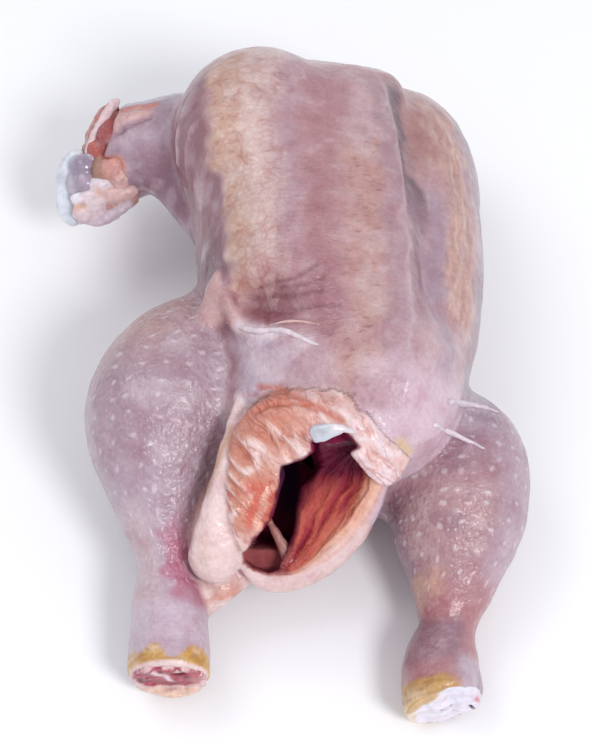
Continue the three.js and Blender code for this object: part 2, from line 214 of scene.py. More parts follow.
def left_upper_arm():
    return limb(in_body([(42, 62, -12, 18), (50, 38, -22, 16), (46, 10, -28, 14)]))


def leg(thigh, knee, calf, below_calf, ankle, hock, end, facing, calf_radius):
    shank = limb([(*knee, 0.6 * calf_radius), (*calf[0], 0.92 * calf_radius), (*calf[1], calf_radius),
                  (*below_calf, 0.68 * calf_radius), (*ankle, ANKLE_RADIUS),
                  (*hock, 0.92 * HOCK_RADIUS), (*end, HOCK_RADIUS)], pieces=24)
    return join(limb(thigh), trim(shank, plane(end, facing), 2.2), 8)


def right_leg():
    return leg(thigh=[(-28, -54, 36, 22), (-45, -32, 41, 22.5), (-50, -18, 43, 17)], knee=(-50, -11, 44),
               calf=((-59.5, -29, 46), (-64.5, -47, 43.5)), below_calf=(-64.5, -70, 36),
               ankle=(-62, -94, 27), hock=(-60, -116, 21), end=(-59.5, -135.5, 16),
               facing=(0, -1, -0.1), calf_radius=CALF_RADIUS)


def left_leg():
    return leg(thigh=[(8, -56, 26, 20), (28, -52, 28, 21), (42, -52, 30, 18)], knee=(47.5, -45, 30),
               calf=((46.5, -58, 29.5), (43.5, -75, 27)), below_calf=(42, -95, 21.5),
               ankle=(39, -115, 17), hock=(36, -131, 15.2), end=(36.5, -145.5, 15.2),
               facing=(0.25, -1, 0.05), calf_radius=0.93 * CALF_RADIUS)


def rump():
    sleeve = limb([(-6, -50, 46, 35), (-7, -72, 47, 33), (-9, -90, 50, 34), (-11, -104, 54, 34)],
                  BODY_SIDE, 0.68)
    sleeve = trim(sleeve, plane((-8.5, -90, 50), (0.2, -0.87, 0.45)), 5)
    form = join(ellipsoid((-17, -37, 27), (40, 48, 28)), sleeve, 9)
    form = join(form, limb([(-22, -76, 22, 14), (-30, -89, 22, 9), (-37, -98, 22, 6.5)]), 5)
    form = join(form, limb([(-38, -100, 23, 5.5), (-42, -103.5, 23, 6.5), (-47, -106, 20, 6.5)]), 2)
    form = join(form, limb([(-44, -46, 34, 14), (-46, -70, 32, 12), (-44, -88, 32, 9)]), 8)
    return join(form, limb([(-42, -14, 46, 12), (-33, -32, 50, 14), (-25, -47, 56, 15),
                            (-16, -60, 60, 15)]), 9)


MOUTH = np.array([-8.0, -88.0, 60.0])
MOUTH_AXES = np.array([[1, 0, 0], [0, 0.848, -0.53], [0, 0.53, 0.848]])   # across, up the flap, outwards
MOUTH_EDGE = np.array([(9, 23), (-1.5, 20), (-1, 16.5), (-5, 13.5), (-11.5, 11), (-12, 6), (-14, -1.5),
                       (-16, -8), (-22, -16), (-25, -19.5), (-25, -23), (-22, -25.5), (-16.5, -27.5),
                       (-12, -26), (-9, -20), (-7, -13), (-6.5, -5), (-4.5, 3), (1, 10), (8, 15),
                       (14, 18)])


def in_mouth(stations):
    """Stations given across, up and out of the mouth of the cavity, in the table's axes."""
    moved = np.array(stations, float)
    moved[:, :3] = moved[:, :3] @ MOUTH_AXES.T + MOUTH
    return moved


def squares_off(across, up, path):
    """The squared distance from each place in a flat layout to a path."""
    nearest = np.full(np.shape(across), 1e9)
    for (ax, ay), (bx, by) in zip(path[:-1], path[1:]):
        dx, dy = bx - ax, by - ay
        share = np.clip(((across - ax) * dx + (up - ay) * dy) / (dx * dx + dy * dy), 0, 1)
        nearest = np.minimum(nearest, (across - ax - share * dx) ** 2 + (up - ay - share * dy) ** 2)
    return nearest


def mouth_hole(points):
    """The dark way in: the outline of the loose skin carried inwards, shallow at its lower end."""
    across, up, out = np.moveaxis((points - MOUTH) @ MOUTH_AXES, -1, 0)
    outline = np.vstack([MOUTH_EDGE, MOUTH_EDGE[:1]])
    within = np.zeros(across.shape, bool)
    for (ax, ay), (bx, by) in zip(outline[:-1], outline[1:]):
        crosses = (ay > up) != (by > up)
        within ^= crosses & (across < ax + (up - ay) * (bx - ax) / ((by - ay) or 1))
    side = np.where(within, -1, 1) * np.sqrt(np.minimum(squares_off(across, up, outline), FAR * FAR))
    shallow = np.clip((across + 0.4 * up) / 9, 0, 1)
    deep = np.clip((up + 20) / 5, 0, 1) * (1 - shallow)
    floor = -24 - 18 * deep * deep * (3 - 2 * deep) + 22 * shallow
    return np.maximum(side, floor - out)


def bowl():
    """The hollow of the left flap's inner face, from its rolled rim down to the dark way in."""
    return limb(in_mouth([(7, 16, 14, 13), (6, 4, 8, 20), (0, -10, 1, 18.5), (-6, -19, -3, 15),
                          (-11, -24, -5, 10.5)]))


def flap():
    """Loose skin over the right of the mouth, running down beside the fat roll."""
    under = limb(in_mouth([(6, 27, 0, 9), (-3, 27, -1, 9), (-13, 26, -3, 9.5), (-20, 19, -4, 9.5),
                           (-23, 9, -5, 9), (-25, -1, -6, 9), (-27, -11, -10, 8), (-29, -17, -15, 6)]))
    edge = limb(in_mouth([(4, 22, 6, 6), (-7, 17, 5, 7), (-14, 8, 2, 7), (-18, -2, -2, 6),
                          (-24, -11, -7, 6)]),
                (0, -0.53, 0.848), 0.5)
    return join(under, edge, 4)


def fat_roll():
    return limb([(-34, -50, 65, 1.6), (-35.5, -58, 66.5, 2.2), (-37, -66, 64.6, 3.4),
                 (-38.5, -76.5, 60.6, 4.8), (-40.6, -86.4, 53.5, 6.5), (-42.5, -94, 45.5, 8.4),
                 (-43.5, -98.5, 38.5, 9), (-43.5, -99.5, 35, 8)])


def left_lobe():
    """The small crinkled lobe at the upper left of the mouth."""
    outwards = (0.35, -0.5, 0.8)
    edge = limb(in_mouth([(14, 21, 3.5, 5), (19.5, 16, 1.5, 6.5), (24, 10, -2.5, 5.5)]), outwards, 0.42)
    top = limb(in_mouth([(16, 25, 5, 5), (22, 20, 1, 6.5), (27, 13, -4, 5)]), outwards, 0.5)
    return join(edge, top, 4)


def tuft():
    """The loose skin bunched up where the thigh leaves the side of the breast."""
    peak = limb([(-44, -17, 66, 6), (-43.8, -10, 71.5, 3.4), (-43.2, -6, 75.5, 1.3)])
    return join(peak, limb([(-43, -10, 71, 2.6), (-39, -16, 74.5, 2.6), (-36, -25, 74.5, 2.2)]), 5)


def web_hollow():
    """The hollow that lies behind the web's taut edge, between the breast and the thigh."""
    return limb([(-37, -16, 79, 3), (-33, -19, 82.5, 6.5), (-24, -24.5, 88, 7.5), (-13.5, -29.5, 91, 6),
                 (-5, -33, 92, 4)])


def drawn_cavity():
    """The hollow inside the ribs and its throat, which runs down to the mouth."""
    form = body_ellipsoid((-1, -12, -4), (31, 58, 26))
    return join(form, limb([(-17, -42, 42, 10), (-20, -76, 38, 8)]), 4)


def carcass():
    front = join(torso(), right_upper_arm(), 6)
    front = join(front, left_upper_arm(), 8)
    front = join(front, neck_end(), 14)
    rear = join(rump(), right_leg(), 5)
    rear = join(rear, left_leg(), 6)
    whole = cut(join(front, rear, 7), drawn_cavity(), 4)
    whole = cut(whole, web_hollow(), 5)
    whole = join(cut(whole, bowl(), 4), flap(), 3)
    whole = cut(join(whole, left_lobe(), 3.5), mouth_hole, 1.5)
    whole = join(join(whole, fat_roll(), 2), tuft(), 4)
    return lambda points: np.maximum(whole(points), -points[..., 2])


def in_chunks(field, points, size=200000):
    return np.concatenate([field(points[n:n + size]) for n in range(0, len(points), size)])


STEEPEST = 1.6           # taken as the most that a field changes over a millimetre


def near_surface(field, axes, block=5):
    """The field on the grid, worked out only in blocks that the surface may cross."""
    values = np.empty([len(a) for a in axes], np.float32)
    crossed = np.zeros(values.shape, bool)
    blocks = [[(s, min(s + block, len(a) - 1)) for s in range(0, len(a) - 1, block)] for a in axes]
    corners = [np.array([(a[s], a[e]) for s, e in spans]) for a, spans in zip(axes, blocks)]
    middles, halves = (np.stack(np.meshgrid(*sizes, indexing="ij"), -1).reshape(-1, 3) for sizes in
                       ([c.mean(1) for c in corners], [(c[:, 1] - c[:, 0]) / 2 for c in corners]))
    reach = STEEPEST * np.linalg.norm(halves, axis=1) + 1
    for spans, middle, near in zip(itertools.product(*blocks), in_chunks(field, middles), reach):
        region = tuple(slice(start, end + 1) for start, end in spans)
        if abs(middle) < near:
            crossed[region] = True
        else:
            values[region] = middle
    where = np.argwhere(crossed)
    points = np.stack([axes[n][where[:, n]] for n in range(3)], 1)
    values[tuple(where.T)] = in_chunks(field, points)
    return values


def surface_net(values, axes):
    """One vertex in each grid cell that the surface crosses, and a quad round each crossed edge."""
    inside = values < 0
    corners = list(np.ndindex(2, 2, 2))
    count = np.zeros(np.array(inside.shape) - 1, np.int8)
    for corner in corners:
        count += inside[tuple(slice(n, size - 1 + n) for n, size in zip(corner, inside.shape))]
    cells = np.argwhere((count > 0) & (count < 8))
    number = np.full(count.shape, -1)
    number[tuple(cells.T)] = np.arange(len(cells))
    total, crossings = np.zeros((len(cells), 3)), np.zeros(len(cells))
    for corner, axis in itertools.product(corners, range(3)):
        if not corner[axis]:
            step = np.eye(3, dtype=int)[axis]
            a, b = (values[tuple((cells + end).T)] for end in (corner, corner + step))
            crossed = (a < 0) != (b < 0)
            share = np.where(crossed, a / np.where(crossed, a - b, 1), 0)
            total += (corner + share[:, None] * step) * crossed[:, None]
            crossings += crossed
    share = total / crossings[:, None]
    vertices = np.stack([axes[n][cells[:, n]] * (1 - share[:, n]) + axes[n][cells[:, n] + 1] * share[:, n]
                         for n in range(3)], 1)
    quads = []
    for axis in range(3):
        u, v = (axis + 1) % 3, (axis + 2) % 3
        here, there = (tuple(ends if n == axis else slice(1, -1) for n in range(3))
                       for ends in (slice(0, -1), slice(1, None)))
        edges = np.argwhere(inside[here] != inside[there])
        flip = inside[here][tuple(edges.T)]
        edges[:, [u, v]] += 1
        ring = []
        for du, dv in ((1, 1), (0, 1), (0, 0), (1, 0)):
            cell = edges.copy()
            cell[:, u] -= du
            cell[:, v] -= dv
            ring.append(number[tuple(cell.T)])
        ring = np.stack(ring, 1)
        ring[~flip] = ring[~flip][:, ::-1]
        quads.append(ring)
    return vertices, np.vstack(quads)


def graded(low, high, spacing):
    """Grid points from low to high, their spacing given at each place by a function."""
    points = [low]
    while points[-1] < high:
        points.append(points[-1] + spacing(points[-1]))
    return np.array(points)


def relaxed(vertices, quads):
    """Each vertex moved halfway to the middle of its neighbours."""
    edges = np.vstack([quads[:, [n, (n + 1) % 4]] for n in range(4)])
    total, count = np.zeros_like(vertices), np.zeros(len(vertices))
    for a, b in (edges.T, edges[:, ::-1].T):
        for n in range(3):
            total[:, n] += np.bincount(a, vertices[b, n], len(vertices))
        count += np.bincount(a, minlength=len(vertices))
    return vertices + 0.5 * (total / count[:, None] - vertices)


def settled(field, vertices, step=0.2):
    """Vertices moved onto the field's zero, with the unit normals there."""
    value = in_chunks(field, vertices)
    slope = np.stack([in_chunks(field, vertices + move) - value for move in step * np.eye(3)], 1) / step
    square = (slope ** 2).sum(1)
    vertices = vertices - np.clip(value / square, -1, 1)[:, None] * slope
    return vertices, slope / np.sqrt(square)[:, None]


def whole_net(field, axes, scattered=False):
    """The field's surface as vertices, normals and quads, without loose specks unless it is scattered."""
    vertices, quads = surface_net(near_surface(field, axes), axes)
    if not scattered:
        label = np.arange(len(vertices))
        edges = np.vstack([quads[:, [0, 1]], quads[:, [1, 2]], quads[:, [2, 3]]])
        before = None
        while before is None or (label != before).any():
            before = label.copy()
            low = np.minimum(label[edges[:, 0]], label[edges[:, 1]])
            np.minimum.at(label, edges[:, 0], low)
            np.minimum.at(label, edges[:, 1], low)
            label = label[label]
        kept = np.flatnonzero(label == np.bincount(label).argmax())
        renumber = np.full(len(vertices), -1)
        renumber[kept] = np.arange(len(kept))
        quads = renumber[quads]
        quads = quads[quads[:, 0] >= 0]
        vertices = vertices[kept]
    vertices, normals = settled(field, relaxed(vertices, quads))
    return vertices, normals, quads


SKIN_GRID = 1.25
FINE_SKIN_GRID = 0.8
SKIN_BOX = ((-112, 80), (-154, 128), (-2.0, 106))
MOUTH_BLOCK = ((-52, 26), (-112, -60), (16, 90))      # where the grid is fine


def spaced(fine_from, fine_to):
    return lambda place: FINE_SKIN_GRID if fine_from < place < fine_to else SKIN_GRID


skin_axes = [graded(*span, spaced(*fine)) for span, fine in zip(SKIN_BOX, MOUTH_BLOCK)]
skin_vertices, skin_normals, skin_quads = whole_net(carcass(), skin_axes)

# The part's origin is under the middle of its box; its left side and its two ends are skin.
node_low, node_high = (np.array(corner) * 1000 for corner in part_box("chicken"))
skin_low, skin_high = skin_vertices.min(0), skin_vertices.max(0)
TO_PART = np.array([node_high[0] - skin_high[0], (node_low + node_high - skin_low - skin_high)[1] / 2,
                    -skin_low[2]])


def eased(value, low, high):
    """0 at low, 1 at high, eased between them."""
    t = np.clip((value - low) / (high - low), 0, 1)
    return t * t * (3 - 2 * t)


def band(value, low, high, soft):
    return eased(value, low - soft, low + soft) * (1 - eased(value, high - soft, high + soft))


LATTICE = 24             # the noise repeats after this many lumps
LATTICE_START = 100      # in lumps, where the middle of the bird falls on it
CLOUD_CONTRAST = 1.6


def cloud(points, size, seed):
    """Soft noise from -1 to 1 with lumps about as far apart as size, one number or one for each axis."""
    lattice = np.random.default_rng(seed).uniform(-1, 1, (LATTICE, LATTICE, LATTICE))
    place = points / np.asarray(size, float) + LATTICE_START
    cell = np.floor(place).astype(int)
    t = place - cell
    t = t * t * (3 - 2 * t)
    total = np.zeros(len(points))
    for corner in np.ndindex(2, 2, 2):
        weight = np.prod([t[:, n] if corner[n] else 1 - t[:, n] for n in range(3)], 0)
        total += weight * lattice[tuple((cell[:, n] + corner[n]) % LATTICE for n in range(3))]
    return total * CLOUD_CONTRAST


def flat(across, up, extra=0):
    return np.stack([across, up, np.zeros_like(across) + extra], 1)


def stroke(across, up, path, width):
    """1 on a path over a flat layout, falling off to nothing by about twice its width."""
    return np.exp(-squares_off(across, up, path) / width ** 2)


def ridge(points, path, width):
    """1 on a path through the given points in space, falling off to nothing by about twice its width."""
    nearest = np.full(len(points), 1e9)
    path = np.array(path, float)
    for a, b in zip(path[:-1], path[1:]):
        share = np.clip((points - a) @ (b - a) / ((b - a) @ (b - a)), 0, 1)
        nearest = np.minimum(nearest, ((points - a - share[:, None] * (b - a)) ** 2).sum(1))
    return np.exp(-nearest / width ** 2)


TRUNK_RADIUS = 45        # lays the skin round the trunk out flat
TRUNK_DROP = 5           # turns round the trunk are about a line this far below the body's centre
RIM_PATH = [(4, 22), (8, 20), (16, 18.5), (23, 12), (26.5, 3), (24, -4), (19.5, -11), (12, -18.5),
            (3, -24.5), (-5.5, -28.5), (-14, -30), (-21, -28), (-25, -25)]
BOWL_WIDTH = 34          # from the way in to the rolled rim
RIM_SLOPES = (-0.29, 0.585)      # how the plane of the rim rises across the mouth and up it
FOLD_SLANT = (0.78, 0.62)        # cosine and sine of the slant of the loose skin's folds


def rim_share(across, up):
    """0 at the dark way in, 1 on the rolled rim."""
    inner, outer = (np.sqrt(squares_off(across, up, path)) for path in (MOUTH_EDGE[13:], RIM_PATH))
    return inner / (inner + outer + 1e-6)


class Layout:
    """Where each point of the skin lies, told in the bird's, the leg's and the mouth's own terms."""

    def __init__(self, points, normals):
        self.points = points
        body = (points - BODY_CENTRE) @ BODY
        self.turn = np.degrees(np.arctan2(body[:, 0], body[:, 2] + TRUNK_DROP))
        self.along = body[:, 1]
        self.girth = np.radians(self.turn) * TRUNK_RADIUS
        self.across, self.up, self.out = ((points - MOUTH) @ MOUTH_AXES).T
        self.facing = normals @ MOUTH_AXES[:, 2]
        parts = {"torso": join(torso(), neck_end(), 14), "right_leg": right_leg(), "left_leg": left_leg(),
                 "wing": right_upper_arm(), "rump": rump(), "flap": flap(), "roll": fat_roll(),
                 "lobe": left_lobe(), "bowl": bowl(), "tuft": tuft()}
        self.near = near = {name: in_chunks(part, points) for name, part in parts.items()}
        rest = np.minimum(near["torso"], near["rump"])
        self.right_leg = eased(np.minimum(rest, near["roll"] + 3) - near["right_leg"], -2.5, 2.5)
        self.left_leg = eased(rest - near["left_leg"], -1.5, 1.5)
        self.wing = eased(rest - near["wing"], -3, 3)
        self.roll = 1 - eased(near["roll"], 0.2, 1.6)
        self.flap = (1 - eased(near["flap"], 0.5, 3)) * (1 - self.roll)
        self.lobe = 1 - eased(near["lobe"], 0.3, 1.5)
        self.depth = RIM_SLOPES[0] * self.across + RIM_SLOPES[1] * self.up - self.out
        hole = in_chunks(mouth_hole, points)
        self.hole = (1 - eased(hole, 0.3, 1.2)) * eased(self.depth, -6, 3) * (points[:, 2] > 12)
        self.deep = 4 - in_chunks(drawn_cavity(), points)
        self.rim = rim_share(self.across, self.up)
        in_bowl = (1 - eased(np.abs(near["bowl"]), 1.2, 3.2)) * (self.out > -40) * (points[:, 1] < -60)
        self.bowl = in_bowl * (1 - self.flap) * (1 - self.lobe) * (1 - self.roll)
        self.torso = (1 - self.right_leg) * (1 - self.left_leg) * (1 - self.wing)
        self.rear = eased(rear_line(self.across, self.up), -1.5, 1.5) * eased(self.facing, -0.1, 0.2)
        self.rear = self.rear * (1 - eased(self.up, 29, 37)) * (1 - eased(self.across, 15, 21))
        # across and along the folds of the loose skin
        c, s = FOLD_SLANT
        self.lean_a = c * self.across + s * self.up
        self.lean_b = c * self.up - s * self.across


def rear_line(across, up):
    """How far below the breast's end, where the web begins, a place in the mouth's layout lies."""
    top = np.interp(across, [-60, -32, -26, -20, -5, 3, 16, 40], [40, 40, 52, 38, 31, 27, 19, 18])
    return top - up


def leg_layout(points, stations):
    """Round and along a leg, in millimetres, about its middle line."""
    middle = np.array(sorted((y, x, z) for x, y, z in stations))
    x = np.interp(points[:, 1], middle[:, 0], middle[:, 1])
    z = np.interp(points[:, 1], middle[:, 0], middle[:, 2])
    return np.degrees(np.arctan2(points[:, 0] - x, points[:, 2] - z)), points[:, 1]


RIGHT_LEG_LINE = [(-50, -11, 40), (-59.5, -29, 44), (-64.5, -47, 43), (-64.5, -70, 36), (-62, -94, 27),
                  (-60, -116, 21), (-59.5, -136, 16)]
LEFT_LEG_LINE = [(47, -45, 28), (46, -58, 29), (43.5, -75, 27), (42, -95, 21.5), (39, -115, 17),
                 (36, -131, 15.2), (36.5, -146, 15.2)]
place = Layout(skin_vertices, skin_normals)
right_round, right_along = leg_layout(skin_vertices, RIGHT_LEG_LINE)
left_round, left_along = leg_layout(skin_vertices, LEFT_LEG_LINE)

# the feather tracts of the breast, their edges wandering a little
edge_sway = 2.2 * cloud(skin_vertices, 7, 31) + 1.2 * cloud(skin_vertices, 3, 32)
along_sway = place.along + 2 * edge_sway
OUTER_TRACT = band(place.turn + edge_sway, -66, -43, 3) * band(along_sway, -26, 92, 8) * place.torso
INNER_TRACT = band(place.turn + edge_sway, -21, -7, 4) * band(along_sway, -72, 42, 8) * place.torso
LEFT_TRACT = band(place.turn + edge_sway, 26, 42, 4) * band(place.along, -25, 80, 10) * place.torso
tracts = np.clip(OUTER_TRACT + 0.25 * INNER_TRACT + 0.2 * LEFT_TRACT, 0, 1) * (1 - place.rear)

# folds and bulges that stand out or lie deep by themselves
side = band(place.turn, -118, -70, 5) * band(place.along, -8, 66, 12) * place.torso
SIDE_FOLDS = eased(cloud(flat(0.8 * place.girth - 0.6 * place.along, 0.6 * place.girth + 0.8 * place.along),
                         (2.6, 13, 9), 33), 0.15, 0.8) * side
WING_FOLD = ridge(skin_vertices, [(-84.8, 70.8, 61.6), (-82, 71.8, 63), (-78.5, 73.3, 64.5),
                                  (-71.5, 75.3, 67.1)], 1.1)
WING_BULGE = ridge(skin_vertices, [(-83.5, 77.5, 62.6), (-78.5, 77.2, 64.3), (-73.5, 77, 66)], 3.2)
WING_BAR = ridge(skin_vertices, [(-81.2, 83, 61.4), (-76, 82.4, 63.6), (-71, 81.6, 65.8)], 2.6)
ARM_ROOT_FOLD = ridge(skin_vertices, [(-58.8, 57.7, 80.8), (-59.3, 53.5, 75.5), (-59.5, 50, 70.4)], 1.5)
TORN_EDGE = np.maximum(skin_vertices @ [0, 0.85, 0.53] - 83.6, skin_vertices[:, 0] + 82.8)
# the hollow behind the web's taut edge, painted in shadow
POCKET_SHADOW = band(place.across, -25, -8, 4) * band(place.up, 60, 72, 3) * place.torso
# creases in that hollow, sunk into the relief and painted dark as shade
POCKET_CREASES = [[(-19, 73.5), (-13, 75), (-7, 76.5), (0.6, 81.5)],
                  [(-21, 69.5), (-14, 70), (-8, 70), (2, 72)],
                  [(-17, 61), (-16.6, 65), (-17, 69)], [(-20, 66), (-12, 65), (-3, 66), (8, 67)],
                  [(-13, 73), (-6, 73.5), (3, 77)]]
pocket_lines = 0.9 * sum(stroke(place.across, place.up, path, 0.95) for path in POCKET_CREASES) * place.torso
pocket_lines = np.clip(pocket_lines * eased(place.along, -60, -40), 0, 1)


def skin_relief():
    """Heights of folds, ridges and wrinkles over the smooth form, in millimetres."""
    points = place.points
    height = 0.18 * cloud(points, 9, 1) + 0.10 * cloud(points, 4, 2)
    # keel: the breastbone's edge under the skin, and the groove beside it
    turn_at_keel = np.interp(place.along, [-60, 0, 50, 90], [2, 2, 1.5, 0])
    keel_line = np.exp(-((place.turn - turn_at_keel) / 1.3) ** 2) * band(place.along, -70, 68, 14)
    height += 0.7 * keel_line * place.torso
    groove = np.exp(-((place.turn - turn_at_keel - 6) / 4) ** 2) * band(place.along, 20, 66, 14)
    height -= 1.6 * groove * place.torso
    height += 3.0 * np.exp(-((place.turn - 13) / 9) ** 2) * eased(place.along, 60, 84) * place.torso
    # short slanting creases down the inner tract, and fine wrinkles across the middle of the breast
    slant = 0.8 * place.girth + 0.6 * place.along
    creases = np.abs(cloud(flat(slant, 0.8 * place.along - 0.6 * place.girth), (2.6, 9, 9), 3))
    height -= 0.15 * INNER_TRACT * (1 - eased(creases, 0.0, 0.35))
    middle = band(place.turn, -45, -20, 6) * band(place.along, -45, 25, 10) * place.torso
    wrinkles = np.abs(cloud(flat(place.girth, place.along + 0.12 * place.girth), (13, 2.2, 9), 4))
    height -= 0.3 * middle * (1 - eased(wrinkles, 0.0, 0.3))
    # the left tract's lengthwise streaks
    streaks = cloud(flat(place.girth, place.along), (2.6, 12, 9), 5)
    height += 0.3 * LEFT_TRACT * streaks
    # the left edge of the breast: slanting folds towards the wing
    height += 0.5 * SIDE_FOLDS
    height -= 0.6 * pocket_lines
    # wing: soft pulled wrinkles
    pulled = cloud(flat(points[:, 0] + 0.4 * points[:, 1], points[:, 2]), (3.2, 10, 9), 7)
    height += 0.35 * place.wing * pulled
    height += 1.1 * WING_BULGE - 1.3 * WING_FOLD - 0.4 * eased(WING_BAR, 0.3, 0.5) + 0.9 * ARM_ROOT_FOLD
    # mouth: ridges down the left flap's inner face
    across_bowl = BOWL_WIDTH * place.rim + 1.2 * cloud(flat(place.across, place.up), (9, 9, 9), 8)
    ridges = cloud(flat(across_bowl, place.up), (2.5, 22, 9), 9)
    ridges = ridges + 0.5 * cloud(flat(across_bowl, place.up), (1.3, 12, 9), 10)
    height += 1.0 * place.bowl * (1 - eased(place.rim, 0.6, 0.95)) * ridges
    # flap: crinkled skin, its folds running down and to the left of the bird
    crinkle = 1 - 2.0 * np.abs(cloud(flat(place.lean_a, place.lean_b), (3.2, 9, 9), 11))
    crinkle = crinkle + 0.7 * cloud(flat(place.lean_a, place.lean_b), (5, 12, 9), 12)
    height += 0.55 * np.clip(place.flap, 0, 1) * eased(place.facing, 0.2, 0.6) * crinkle
    height += 0.3 * place.lobe * crinkle
    # the fat roll and the tail: low soft lumps
    height += 0.35 * place.roll * cloud(points, 5, 13)
    return height, crinkle, ridges


relief, crinkle, ridges = skin_relief()
# curved creases of the web above the mouth, and the crease where the flap comes out from under it
WEB_CREASES = [([(-20, 38.5), (-12, 38), (-3, 34), (4, 30), (9, 27)], 1.0, 1.0),
               ([(-22, 30), (-17, 33), (-10, 33.5), (-4, 32.5), (0, 30)], 0.9, 0.9),
               ([(-24, 35.5), (-16, 36), (-8, 35), (-2, 32.5)], 0.7, 0.5)]
web_lines = sum(strength * stroke(place.across, place.up, path, width)
                for path, width, strength in WEB_CREASES)
web_lines = web_lines * eased(place.facing, 0.1, 0.4) * (1 - place.roll)
relief = relief - 1.2 * web_lines
skin_shape = skin_vertices + relief[:, None] * skin_normals
skin_shape[:, 2] = np.maximum(skin_shape[:, 2], skin_vertices[:, 2].min())


def mesh_piece(name, vertices, faces, material):
    """A smooth mesh object from millimetre points, placed in the part's frame in metres."""
    mesh = bpy.data.meshes.new(name)
    mesh.from_pydata((np.asarray(vertices) + TO_PART) / 1000, [], np.asarray(faces).tolist())
    mesh.shade_smooth()
    mesh.materials.append(material)
    piece = bpy.data.objects.new(name, mesh)
    bpy.context.scene.collection.objects.link(piece)
    return piece


def linear(hex_colour):
    """An sRGB hex colour as the linear RGBA that shaders take."""
    channels = [int(hex_colour[n:n + 2], 16) / 255 for n in (1, 3, 5)]
    return tuple(c / 12.92 if c <= 0.04045 else ((c + 0.055) / 1.055) ** 2.4 for c in channels) + (1.0,)


MODES = {"Math": "operation", "VectorMath": "operation", "MapRange": "interpolation_type",
         "Mix": "blend_type"}


def add_node(tree, kind, *values, **named):
    """Adds a node, such as Math or Math.MULTIPLY with its mode, and gives its first output in use. Values
    go to its inputs in use, in their order; a name with a capital is an input, any other a setting."""
    kind, _, mode = kind.partition(".")
    node = tree.nodes.new("ShaderNode" + kind)
    if mode:
        setattr(node, MODES[kind], mode)
    for name, value in named.items():
        if name.islower():
            setattr(node, name, value)
    given = list(zip([socket for socket in node.inputs if socket.enabled], values))
    given += [(node.inputs[name.replace("_", " ")], value) for name, value in named.items()
              if not name.islower()]
    for socket, value in given:
        if isinstance(value, bpy.types.NodeSocket):
            tree.links.new(value, socket)
        else:
            socket.default_value = value
    return next((socket for socket in node.outputs if socket.enabled), node)


def new_material(name):
    material = bpy.data.materials.new(name)
    material.use_nodes = True
    material.node_tree.nodes.clear()
    return material, material.node_tree


def painter(tint):
    """Lays a colour over part of a tint, by a mask from 0 to 1."""
    def lay(colour, mask):
        mask = np.clip(mask, 0, 1)[:, None]
        tint[:] = tint * (1 - mask) + np.array(linear(colour)[:3]) * mask
    return lay


